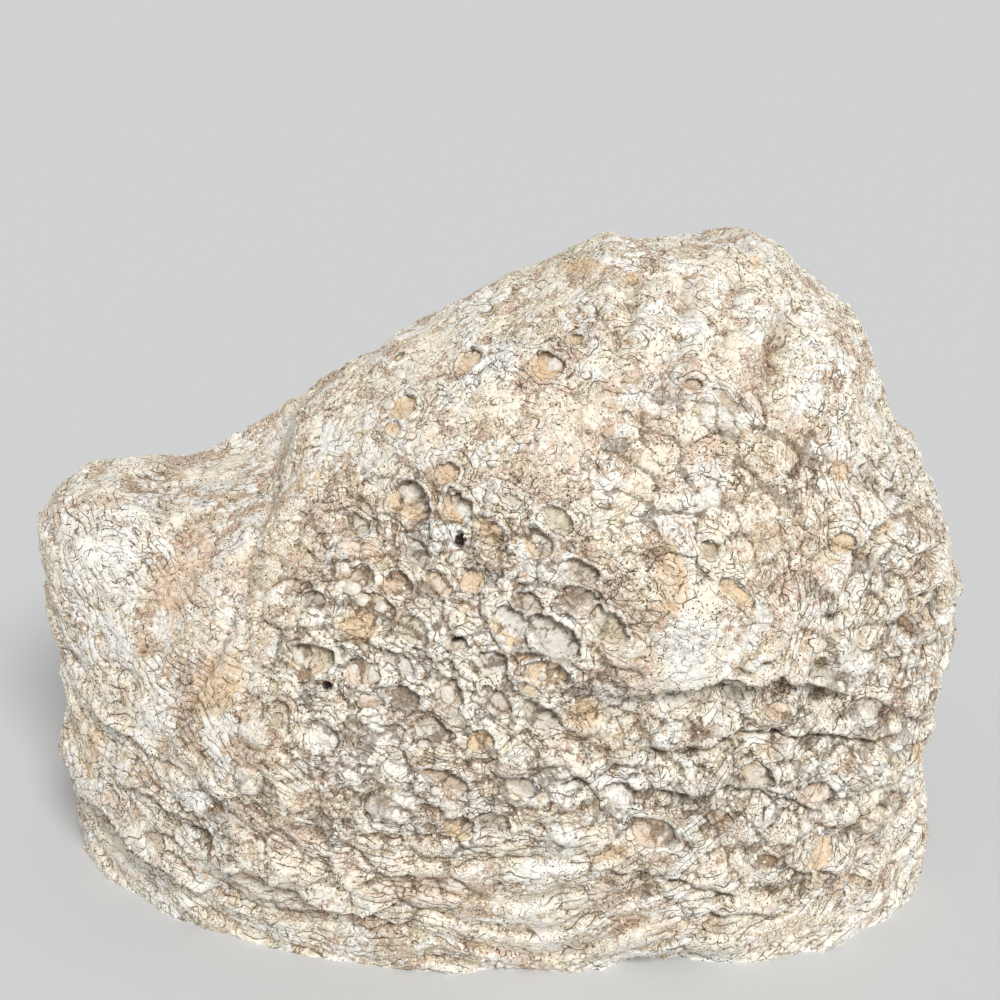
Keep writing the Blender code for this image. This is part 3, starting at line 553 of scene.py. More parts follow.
def icosphere(subdivisions: int, name: str) -> Mesh:
    """Return a mesh of a sphere with a radius of 1 mm."""
    work = bmesh.new()
    bmesh.ops.create_icosphere(work, subdivisions=subdivisions, radius=MM)
    mesh = bpy.data.meshes.new(name)
    work.to_mesh(mesh)
    work.free()
    return mesh


@dataclass
class Surface:
    """The block's surface while it is worked: points, normals, pending moves, and stains with the
    painted shade and highlights.

    calm is how smooth each point's skin stays, growth how far out in mm its layer lies, layered how
    much the layers show, rings how far in mm it is from the nearest cup's edge, chalk how white its
    flake is, and folds are the waves that change sign at the wrinkles' creases.
    """

    points: Grid
    triangles: Grid
    normals: Grid = field(init=False)
    moves: Grid = field(init=False)
    stains_and_painted_light: dict[Tint, Grid] = field(init=False)
    calm: Grid = field(init=False)
    growth: Grid = field(init=False)
    layered: Grid = field(init=False)
    rings: Grid = field(init=False)
    chalk: Grid = field(init=False)
    folds: dict[str, Grid] = field(init=False)

    def __post_init__(self) -> None:
        """Start with no moves, no stains and no calm places."""
        self.stains_and_painted_light = {tint: np.zeros(len(self.points)) for tint in Tint}
        self.calm = np.zeros(len(self.points))
        self.growth = np.zeros(len(self.points))
        self.layered = np.zeros(len(self.points))
        self.rings = np.full(len(self.points), FAR_FROM_CUPS)
        self.chalk = np.zeros(len(self.points))
        self.folds = {}
        self.moves = np.zeros_like(self.points)
        self.normals = vertex_normals(self.points, self.triangles)

    def settle(self) -> None:
        """Apply the pending moves, and find the new normals."""
        self.points = np.round(self.points + self.moves, KEPT_DIGITS)
        self.moves = np.zeros_like(self.points)
        self.normals = vertex_normals(self.points, self.triangles)

    def near(self, centre: Grid, reach: float) -> Grid:
        """Return the numbers of the points within a cube of half side reach round a centre."""
        inside = np.abs(self.points[:, 0] - centre[0]) < reach
        inside &= np.abs(self.points[:, 2] - centre[2]) < reach
        inside &= np.abs(self.points[:, 1] - centre[1]) < reach
        return np.flatnonzero(inside)

    def push(self, chosen: Grid, height: Grid) -> None:
        """Move chosen points along their own normals."""
        self.moves[chosen] += self.normals[chosen] * height[:, None]

    def stain(self, tint: Tint, chosen: Grid, share: Grid) -> None:
        """Add a stain, a painted shade or a painted highlight at chosen points, where it is stronger
        than what is there.
        """
        self.stains_and_painted_light[tint][chosen] = np.maximum(self.stains_and_painted_light[tint][chosen], share)

    def smooth_over(self, chosen: Grid, share: Grid) -> None:
        """Keep chosen points' skin smooth."""
        self.calm[chosen] = np.maximum(self.calm[chosen], share)

    def front_share(self) -> Grid:
        """Return how far each point faces the front, from 0 to 1."""
        return smooth_step(*FRONT_TURN, -self.normals[:, 1])


@dataclass(frozen=True)
class FaceFinder:
    """Finds places on the block's smooth faces."""

    tree: BVHTree

    @classmethod
    def of(cls, surface: Surface) -> "FaceFinder":
        """Return a finder for a surface's present shape."""
        corners = [Vector(point) for point in surface.points * MM]
        return cls(BVHTree.FromPolygons(corners, surface.triangles.tolist()))

    def place(self, x: float, z: float, front: bool = True) -> tuple[Grid, Grid]:
        """Find the front or back face at x and z.

        Args:
            x: Place across the block.
            z: Height on the block.
            front: True for the front face, False for the back.

        Returns:
            The point in mm and the face's unit normal there.
        """
        way = 1 if front else -1
        start = Vector((x, -way * LOOK_FROM, z)) * MM
        point, normal, _, _ = self.tree.ray_cast(start, Vector((0, way, 0)))
        if point is None:
            point, normal, _, _ = self.tree.find_nearest(Vector((x, 0, z)) * MM)
        return np.array(point) / MM, np.array(normal)

    def line(self, places: Iterable[Place], front: bool = True) -> Grid:
        """Return the points of a line drawn on a face."""
        return np.array([self.place(x, z, front)[0] for x, z in places])


@dataclass(frozen=True)
class Oval:
    """An oval patch on a face, with its own long and short directions."""

    centre: Grid
    normal: Grid
    along: float
    across: float
    turn: float

    def axes(self) -> tuple[Grid, Grid]:
        """Return the long and short directions, the long one turned clockwise by turn degrees."""
        across = np.cross(self.normal, (0, 0, 1.0))
        across /= np.linalg.norm(across)
        up = np.cross(across, -self.normal)
        up = -up if up[2] < 0 else up
        across = -across if across[0] * -self.normal[1] < 0 else across
        angle = math.radians(self.turn)
        long_axis = across * math.cos(angle) - up * math.sin(angle)
        return long_axis, across * math.sin(angle) + up * math.cos(angle)

    def spread(self, points: Grid) -> tuple[Grid, Grid]:
        """Measure points in the oval's plane.

        Args:
            points: Points near the oval.

        Returns:
            The distance, 1 at the edge, and the angle round the middle.
        """
        long_axis, short_axis = self.axes()
        offset = points - self.centre
        first, second = offset @ long_axis / self.along, offset @ short_axis / self.across
        return np.hypot(first, second), np.arctan2(second, first)


@dataclass(frozen=True)
class BlockForm:
    """The block's smooth body: an outline from the front, and a superellipse section behind it."""

    waist: float = 45.0
    front_depth: float = 49.0
    back_depth: float = 45.0
    lean: float = 9.0
    lean_top: float = 125.0
    left_front: float = 1.5
    right_front: float = 2.4
    foot_square: float = 0.5
    back_top: float = 2.1
    back_side: float = 2.6
    blur_angle: float = 0.45
    blur_steps: int = 9
    sharp_from: float = 0.82

    def outline_radius(self, angle: Grid) -> Grid:
        """Return the distance from the waist's middle to the outline."""
        places = np.array(OUTLINE, dtype=float)
        heights = places[:, 1] - self.waist
        angles = np.arctan2(heights, places[:, 0])
        order = np.argsort(angles)
        radii = np.hypot(places[:, 0], heights)[order]
        return np.interp(angle, angles[order], radii, period=2 * math.pi)

    def section_radius(self, angle: Grid, equator: Grid) -> Grid:
        """Follow the outline's steps at the block's edge, and a blurred outline on its faces."""
        offsets = np.linspace(-self.blur_angle, self.blur_angle, self.blur_steps)
        blurred = sum(self.outline_radius(angle + offset) for offset in offsets) / self.blur_steps
        sharp = smooth_step(self.sharp_from, 1.0, equator)
        return blurred + (self.outline_radius(angle) - blurred) * sharp

    def exponents(self, angle: Grid, front: Grid) -> Grid:
        """Return the section's exponent, which is high where the block is square."""
        left = 0.5 - 0.5 * np.cos(angle)
        ahead = self.right_front + (self.left_front - self.right_front) * left
        ahead += self.foot_square * np.clip(-np.sin(angle), 0, 1) * np.abs(np.cos(angle))
        behind = self.back_top + (self.back_side - self.back_top) * np.cos(angle) ** 2
        return np.where(front, ahead, behind)

    def points(self, directions: Grid) -> Grid:
        """Take unit directions to points on the block's smooth body."""
        x, y, z = directions.T
        angle = np.arctan2(z, x)
        equator = np.clip(np.hypot(x, z), 0, 1)
        exponent = self.exponents(angle, y < 0)
        reach = self.section_radius(angle, equator) * equator ** (2 / exponent)
        thickness = np.where(y < 0, -self.front_depth, self.back_depth)
        thickness = thickness * np.clip(np.abs(y), 0, 1) ** (2 / exponent)
        height = self.waist + reach * np.sin(angle)
        lean = self.lean * np.clip(height / self.lean_top, 0, 1) ** 2
        return np.stack([reach * np.cos(angle), lean + thickness, height], axis=1)


@dataclass(frozen=True)
class Body:
    """The swellings and lumps that make the smooth body a block of stone."""

    lumps: tuple[Place, ...] = ((26.0, 1.6), (11.0, 1.1), (5.5, 0.5))

    def work(self, surface: Surface, finder: FaceFinder) -> None:
        """Raise and sink the front by its swellings, and all of it by its lumps."""
        facing = surface.front_share()
        for swell in SWELLS:
            centre, normal = finder.place(swell.x, swell.z)
            oval = Oval(centre, normal, swell.across, swell.up, swell.turn)
            chosen = surface.near(centre, 3 * max(swell.across, swell.up))
            far, _ = oval.spread(surface.points[chosen])
            surface.push(chosen, swell.rise * np.exp(-np.minimum(far, 9) ** 2) * facing[chosen])
        everywhere = np.arange(len(surface.points))
        for size, height in self.lumps:
            surface.push(everywhere, height * noise_values(surface.points, size))
        surface.settle()


@dataclass(frozen=True)
class LedgeWork:
    """Growth ledges, with a ragged lip that overhangs a narrow slit, painted dark as shade."""

    lip_reach: float = 9.0
    drop_reach: float = 8.0
    taper: float = 9.0
    edge: float = 0.55
    overhang: float = 0.45
    ragged: tuple[Place, ...] = ((6.0, 1.1), (2.4, 0.6))
    slit_depth: float = 1.7
    slit_place: float = -0.7
    slit_width: float = 0.65

    def work(self, surface: Surface, finder: FaceFinder, ledges: Iterable[Ledge],
             front: bool = True) -> None:
        """Push out the stone above each ledge, and set back what is below it."""
        for ledge in ledges:
            line = finder.line(ledge.line, front)
            middle = (line.max(axis=0) + line.min(axis=0)) / 2
            reach = np.abs(line - middle).max() + self.lip_reach
            chosen = surface.near(middle, reach)
            points, normals = surface.points[chosen], surface.normals[chosen]
            offsets, directions, distance, ends = nearest_on_line(points, line)
            inside = distance < self.lip_reach
            chosen, points, normals = chosen[inside], points[inside], normals[inside]
            offsets, directions = offsets[inside], directions[inside]
            distance, ends = distance[inside], ends[inside]
            upward = np.cross(normals, directions)
            upward /= np.maximum(np.linalg.norm(upward, axis=1), 1e-6)[:, None]
            above = np.einsum("ij,ij->i", offsets, upward)
            for size, height in self.ragged:
                above = above + height * noise_values(points, size)
            overhead = smooth_step(-self.edge, self.edge, above)
            lip = ledge.lip * np.clip(1 - distance / self.lip_reach, 0, 1) ** 2 * overhead
            drop = ledge.drop * np.clip(1 - distance / self.drop_reach, 0, 1) ** 2
            slit = self.slit_depth * min(1, ledge.drop / 2.4)
            slit = slit * np.exp(-((above - self.slit_place) / self.slit_width) ** 2)
            taper = smooth_step(0, self.taper, ends)
            surface.push(chosen, (lip - drop * (1 - overhead) - slit) * taper)
            # Painted shade: the slit under the lip is darkened.
            surface.stain(Tint.DARK, chosen, slit / self.slit_depth * taper)
            shift = upward * (lip * self.overhang * taper)[:, None]
            surface.moves[chosen] -= shift


def nearest_on_line(points: Grid, line: Grid) -> tuple[Grid, Grid, Grid, Grid]:
    """Measure points from a line of straight steps.

    Args:
        points: The points.
        line: The line's own points.

    Returns:
        Each point's offset from the line, the line's direction there, the distance, and how far
        along the line the nearest end is.
    """
    best = np.full(len(points), np.inf)
    offsets = np.zeros_like(points)
    directions = np.zeros_like(points)
    travel = np.zeros(len(points))
    walked = 0.0
    for start, end in zip(line[:-1], line[1:]):
        step = end - start
        length = np.linalg.norm(step)
        share = np.clip((points - start) @ step / length ** 2, 0, 1)
        offset = points - start - share[:, None] * step
        distance = np.linalg.norm(offset, axis=1)
        closer = distance < best
        best[closer] = distance[closer]
        offsets[closer] = offset[closer]
        directions[closer] = step / length
        travel[closer] = walked + share[closer] * length
        walked += length
    return offsets, directions, best, np.minimum(travel, walked - travel)


@dataclass(frozen=True)
class CreaseWork:
    """Creases and grooves of the front, with a thin line of painted shade along each."""

    taper: float = 5.0
    line_width: float = 0.45
    ragged: tuple[Place, ...] = ((5.0, 1.0), (1.8, 0.45))

    def work(self, surface: Surface, finder: FaceFinder) -> None:
        """Sink the creases."""
        for groove in GROOVES:
            line = finder.line(groove.line)
            middle = (line.max(axis=0) + line.min(axis=0)) / 2
            chosen = surface.near(middle, np.abs(line - middle).max() + 3 * groove.width)
            points = surface.points[chosen]
            _, _, distance, ends = nearest_on_line(points, line)
            for size, height in self.ragged:
                distance = distance + height * noise_values(points, size)
            depth = groove.depth * np.exp(-(distance / groove.width) ** 2)
            ends = smooth_step(0, self.taper, ends)
            surface.push(chosen, -depth * ends)
            # Painted shade: a thin dark line along the bottom of each crease.
            surface.stain(Tint.DARK, chosen, 0.5 * ends * np.exp(-(distance / self.line_width) ** 2))


@dataclass(frozen=True)
class CupWork:
    """Coral cups: pockets that deepen towards an undercut arch and run out open on the other side."""

    depth_share: float = 0.48
    overhang: tuple[float, float, float] = (0.25, 0.0, 0.35)
    wall_angle: float = math.radians(55)
    floor_ramp: Place = (-1.05, 0.75)
    arch_edge: Place = (0.84, 1.0)
    open_edge: Place = (0.35, 1.0)
    arch_share: Place = (-0.5, 0.35)
    lip_share: float = 0.3
    lip_place: float = 1.1
    lip_width: float = 0.1
    # How white the raised lip is painted, as a highlight.
    lip_white: float = 0.6
    ragged: tuple[Place, ...] = ((4.2, 0.32), (1.5, 0.14))
    ring_margin: float = 6.0
    ring_slip: float = 2.5
    septum_height: float = 0.22
    floor_edge: Place = (0.95, 0.6)
    floor_calm: float = 0.55
    tint_edge: Place = (1.1, 0.6)
    tint_share: float = 0.8
    # The thin line of painted shade under each cup's arch: its place, width and darkness.
    rim_place: float = 0.9
    rim_width: float = 0.08
    rim_dark: float = 0.85

    def work(self, surface: Surface, finder: FaceFinder, cups: Iterable[Cup],
             front: bool = True) -> None:
        """Sink the cups, stain their floors, paint shade under their arches and a highlight on their
        lips.
        """
        for cup in cups:
            centre, normal = finder.place(cup.x, cup.z, front)
            self.sink(surface, cup, Oval(centre, normal, cup.along, cup.across, cup.turn))

    def sink(self, surface: Surface, cup: Cup, oval: Oval) -> None:
        """Sink one cup in its oval."""
        chosen = surface.near(oval.centre, cup.along + self.ring_margin)
        points = surface.points[chosen]
        far, round_angle = oval.spread(points)
        for size, height in self.ragged:
            far = far * (1 + height * noise_values(points, size))
        wall = np.cos(round_angle - math.radians(oval.turn) - self.wall_angle)
        arch = smooth_step(*self.arch_share, wall)
        inside = arch * (1 - smooth_step(*self.arch_edge, far))
        inside += (1 - arch) * (1 - smooth_step(*self.open_edge, far))
        depth = self.depth_share * cup.depth
        bowl = depth * inside * smooth_step(*self.floor_ramp, np.minimum(far, 2) * wall)
        lip = np.exp(-((np.minimum(far, 9) - self.lip_place) / self.lip_width) ** 2) * arch
        edge_distance = (far - 1) * math.sqrt(cup.along * cup.across) + self.ring_slip * (1 - arch)
        surface.rings[chosen] = np.minimum(surface.rings[chosen], edge_distance)
        septa = np.zeros(len(points))
        if cup.septa:
            septa = self.septum_height * np.cos(cup.septa * round_angle)
            septa = septa * smooth_step(0.15, 0.4, far) * (1 - smooth_step(0.8, 0.95, far))
        rise = self.lip_share * depth * lip - bowl + septa
        surface.moves[chosen] += rise[:, None] * oval.normal
        surface.moves[chosen] += (bowl * arch)[:, None] * np.array(self.overhang)
        surface.smooth_over(chosen, self.floor_calm * smooth_step(*self.floor_edge, far))
        # Painted highlight: the raised lip is whitened.
        surface.stain(Tint.WHITE, chosen, self.lip_white * lip)
        # Painted shade: a thin dark line under the arch.
        rim = np.exp(-((np.minimum(far, 9) - self.rim_place) / self.rim_width) ** 2)
        surface.stain(Tint.DARK, chosen, self.rim_dark * rim * arch)
        floor = smooth_step(*self.tint_edge, far)
        for tint in cup.tints:
            share = floor
            if len(cup.tints) > 1:
                side = wall if tint in (Tint.GREY, Tint.OLIVE, Tint.BROWN) else -wall
                share = floor * smooth_step(-0.45, 0.35, side * np.minimum(far, 1) * 1.4)
            surface.stain(tint, chosen, self.tint_share * share)


@dataclass(frozen=True)
class SeatWork:
    """Fine creases round the places where the beads sit, painted dark as shade."""

    place: float = 1.0
    width: float = 0.16
    depth: float = 0.3
    darkness: float = 0.8

    def work(self, surface: Surface, finder: FaceFinder, beads: Iterable[Bead]) -> None:
        """Cut the crease round each bead."""
        for bead in beads:
            centre, normal = finder.place(bead.x, bead.z)
            oval = Oval(centre, normal, bead.along, bead.across, bead.turn)
            chosen = surface.near(centre, 1.5 * bead.along + 0.5)
            far, _ = oval.spread(surface.points[chosen])
            ring = np.exp(-((far - self.place) / self.width) ** 2)
            surface.push(chosen, -self.depth * ring)
            # Painted shade in the crease round the bead.
            surface.stain(Tint.DARK, chosen, self.darkness * ring)


@dataclass(frozen=True)
class NoduleWork:
    """Pale nodules that stand out of the front, each ringed by a fine crease."""

    crease_place: float = 1.08
    crease_width: float = 0.1
    crease_depth: float = 0.35
    ragged: float = 0.22
    ragged_size: float = 1.8

    def work(self, surface: Surface, finder: FaceFinder, nodules: Iterable[Nodule]) -> None:
        """Raise the nodules and whiten them."""
        for nodule in nodules:
            centre, normal = finder.place(nodule.x, nodule.z)
            oval = Oval(centre, normal, nodule.along, nodule.across, nodule.turn)
            chosen = surface.near(centre, 1.5 * max(nodule.along, nodule.across) + 1)
            far, _ = oval.spread(surface.points[chosen])
            far = far * (1 + self.ragged * noise_values(surface.points[chosen], self.ragged_size))
            dome = nodule.rise * np.sqrt(np.clip(1 - np.minimum(far, 1) ** 2, 0, 1))
            crease = self.crease_depth * np.exp(-((far - self.crease_place) / self.crease_width) ** 2)
            surface.moves[chosen] += (dome - crease)[:, None] * normal
            surface.stain(Tint.WHITE, chosen, 0.5 * smooth_step(1.05, 0.85, far))
            surface.smooth_over(chosen, 0.6 * smooth_step(1.0, 0.8, far))


@dataclass(frozen=True)
class BandWork:
    """Growth bands: arcs round a point high on the block, that show from a way below it."""

    centre: Place = (-8.0, 96.0)
    flatten: float = 1.15
    start: float = 44.0
    full: float = 74.0
    spacing: float = 6.5
    height: float = 0.62
    steepness: float = 0.6
    wander: float = 6.0
    wander_size: float = 24.0
    patch_size: float = 17.0
    patch_range: Place = (0.7, 1.2)

    def layer(self, points: Grid) -> tuple[Grid, Grid]:
        """Return how far out points lie, and the same with a layer's wander."""
        across = (points[:, 0] - self.centre[0]) / self.flatten
        out = np.hypot(across, points[:, 2] - self.centre[1])
        return out, out + self.wander * noise_values(points, self.wander_size)

    def work(self, surface: Surface) -> None:
        """Raise the bands, which wander like the edges of old layers."""
        out, shifted = self.layer(surface.points)
        chosen = np.flatnonzero(out > self.start)
        points, out, shifted = surface.points[chosen], out[chosen], shifted[chosen]
        phase = 2 * math.pi * shifted / self.spacing
        wave = np.sin(phase + self.steepness * np.sin(phase))
        strength = self.patch_range[0] + self.patch_range[1] * noise_values(points, self.patch_size)
        shown = smooth_step(self.start, self.full, out)
        surface.push(chosen, self.height * wave * shown * strength)


@dataclass(frozen=True)
class Area:
    """An oval area of the front, full in its middle and faded to its edge."""

    x: float
    z: float
    half_width: float
    half_height: float

    def share(self, points: Grid) -> Grid:
        """Return how far each point is in the area, from 0 to 1."""
        far = np.hypot((points[:, 0] - self.x) / self.half_width,
                       (points[:, 2] - self.z) / self.half_height)
        return 1 - smooth_step(0.7, 1.15, far)


@dataclass(frozen=True)
class RingWork:
    """Fine ridges that ring the cups like contour lines, where no other form is."""

    spacing: float = RING_SPACING
    height: float = 0.17
    wander: tuple[Place, ...] = ((4.5, 0.5), (1.7, 0.22))
    start: Place = (-1.4, -0.8)
    end: Place = (2.6, 5.0)
    patch_size: float = 5.0
    patch_range: Place = (-0.4, 0.1)

    def work(self, surface: Surface) -> None:
        """Raise the ridges, which wander, and fade them out away from the cups."""
        chosen = np.flatnonzero(surface.rings < FAR_FROM_CUPS / 2)
        points = surface.points[chosen]
        for size, height in self.wander:
            surface.rings[chosen] += height * noise_values(points, size)
        out = surface.rings[chosen]
        share = smooth_step(*self.start, out) * (1 - smooth_step(*self.end, out))
        share *= smooth_step(*self.patch_range, noise_values(points, self.patch_size))
        wave = np.abs(np.sin(math.pi * out / self.spacing))
        surface.push(chosen, self.height * (1.6 * wave - 1) * share)


@dataclass(frozen=True)
class LaminaWork:
    """Thin layers that show along the growth bands, with a sharp crease between them."""

    spacing: float = LAMINA_SPACING
    height: float = 0.17
    start: float = 36.0
    full: float = 60.0
    wander: tuple[Place, ...] = ((9.0, 2.2), (4.0, 0.8), (1.9, 0.3))
    patch_size: float = 8.0
    patch_range: Place = (-0.35, 0.2)

    def work(self, surface: Surface, bands: BandWork) -> None:
        """Raise the layers, and mark where they run and show."""
        out, layer = bands.layer(surface.points)
        for size, height in self.wander:
            layer = layer + height * noise_values(surface.points, size)
        share = smooth_step(self.start, self.full, out)
        share *= smooth_step(*self.patch_range, noise_values(surface.points, self.patch_size))
        surface.growth, surface.layered = layer, share
        wave = np.abs(np.sin(math.pi * layer / self.spacing))
        share = share * (1 - surface.calm)
        surface.push(np.arange(len(share)), self.height * (1.6 * wave - 1) * share)


@dataclass(frozen=True)
class ScallopWork:
    """Cells like overlapping scales: each stands out low down and tucks in at its upper right."""

    size: float
    bulge: float
    edge: float
    tilt: float
    areas: tuple[Area, ...]
    warp: Place = (4.0, 0.0)
    downhill: tuple[float, float, float] = (0.5, 0.0, 0.85)
    crease_place: float = 0.3
    crease_width: float = 0.3
    crease_share: float = 0.7

    def work(self, surface: Surface) -> None:
        """Raise and tilt the cells of the scalloped areas."""
        share = np.zeros(len(surface.points))
        for area in self.areas:
            share = np.maximum(share, area.share(surface.points))
        share *= surface.front_share()
        chosen = np.flatnonzero(share > 0.01)
        heights, darks = np.empty(len(chosen)), np.zeros(len(chosen))
        downhill = Vector(self.downhill)
        warp_size, warp_height = self.warp
        for number, point in enumerate(surface.points[chosen]):
            spot = Vector(point) / self.size
            if warp_height:
                spot += noise.noise_vector(Vector(point) / warp_size) * warp_height
            distances, cells = noise.voronoi(spot)
            inside = min((distances[1] - distances[0]) / self.edge, 1)
            lean = (spot - cells[0]).dot(downhill)
            heights[number] = (self.bulge - self.tilt * lean) * math.sqrt(inside) - self.bulge
            foot = abs(inside - self.crease_place) < self.crease_width
            darks[number] = foot and lean > 0
        surface.push(chosen, heights * share[chosen])
        # Painted shade in the crease on each cell's upper right, where it tucks in.
        surface.stain(Tint.DARK, chosen, self.crease_share * darks * share[chosen])


@dataclass(frozen=True)
class FlakeWork:
    """Chips of crust: cells that each have their own height and slope, some of them chalk-white."""

    size: float
    height: float
    slope: float
    chalk_share: float
    warp: Place = (2.6, 0.35)
    stretch: tuple[float, float, float] = (0.9, 1.0, 1.15)
    edge: float = 0.12
    edge_depth: float = 0.12
    calmed: float = 0.8

    def work(self, surface: Surface) -> None:
        """Raise the flakes, and mark how chalky each is."""
        count = len(surface.points)
        heights, chalk = np.empty(count), np.empty(count)
        spots = surface.points * np.array(self.stretch)
        warp_size, warp_height = self.warp
        for number, point in enumerate(spots):
            point = Vector(point)
            spot = point / self.size + noise.noise_vector(point / warp_size) * warp_height
            distances, cells = noise.voronoi(spot)
            middle = cells[0]
            chance = noise.cell_vector(middle * 9.7)
            rise = chance.x + self.slope * (spot - middle).dot(chance)
            border = min((distances[1] - distances[0]) / self.edge, 1)
            heights[number] = self.height * rise - self.edge_depth * (1 - border)
            chalk[number] = chance.z
        surface.push(np.arange(count), heights * (1 - self.calmed * surface.calm))
        surface.chalk += self.chalk_share * chalk


@dataclass(frozen=True)
class WrinkleWork:
    """Rounded wrinkles with sharp creases between them, stretched along one way, in patches."""

    size: float
    height: float
    stretch: tuple[float, float, float]
    areas: tuple[Area, ...] = ()
    shift: float = 0.0
    calmed: float = 0.85
    patch_size: float = 9.0
    patch_range: Place = (-0.25, 0.35)
    least: float = 0.25

    def work(self, surface: Surface, fold: str = "") -> None:
        """Raise the wrinkles in their areas, or everywhere if there are none.

        Args:
            surface: The surface to wrinkle.
            fold: The name to mark the folds' wave under, or nothing to leave it out.
        """
        share = np.ones(len(surface.points)) if not self.areas else np.zeros(len(surface.points))
        for area in self.areas:
            share = np.maximum(share, area.share(surface.points))
        chosen = np.flatnonzero(share > 0.01)
        points = surface.points[chosen]
        wave = noise_values(points * np.array(self.stretch) + self.shift, self.size)
        patches = smooth_step(*self.patch_range, noise_values(points + self.shift, self.patch_size))
        share = share[chosen] * (self.least + (1 - self.least) * patches)
        share = share * (1 - self.calmed * surface.calm[chosen])
        surface.push(chosen, self.height * (2.2 * np.abs(wave) - 0.5) * share)
        if fold:
            surface.folds[fold] = np.ones(len(surface.points))
            surface.folds[fold][chosen] = wave / np.maximum(share, 0.05)


@dataclass(frozen=True)
class BackPitWork:
    """Seeded pits over the back."""

    seed: int = 23
    count: int = 46
    field_x: Place = (-74, 74)
    field_z: Place = (8, 104)
    sizes: Place = (1.9, 4.2)
    widths: Place = (0.6, 0.95)
    turn: float = 40
    depths: Place = (1.4, 3.2)

    def cups(self, finder: FaceFinder) -> list[Cup]:
        """Return the pits that lie on the back."""
        draw = Random(self.seed)
        found = []
        for _ in range(self.count):
            x = draw.uniform(*self.field_x)
            z = draw.uniform(*self.field_z)
            size = draw.uniform(*self.sizes)
            depth = draw.uniform(*self.depths)
            centre, _ = finder.place(x, z, front=False)
            if np.linalg.norm(centre - (x, centre[1], z)) > size:
                continue
            width = size * draw.uniform(*self.widths)
            turn = draw.uniform(-self.turn, self.turn)
            tint = (Tint.OCHRE, Tint.PEACH, Tint.BROWN, Tint.GREY)[len(found) % 4]
            found.append(Cup("back pit", x, z, size, width, turn, depth, (tint,)))
        return found


@dataclass(frozen=True)
class Shade:
    """How a finish colours one stain, painted shade or painted highlight: its colour, its strength and
    the size of its ragged edge.
    """

    tint: Tint
    colour: Colour
    strength: float
    ragged: float


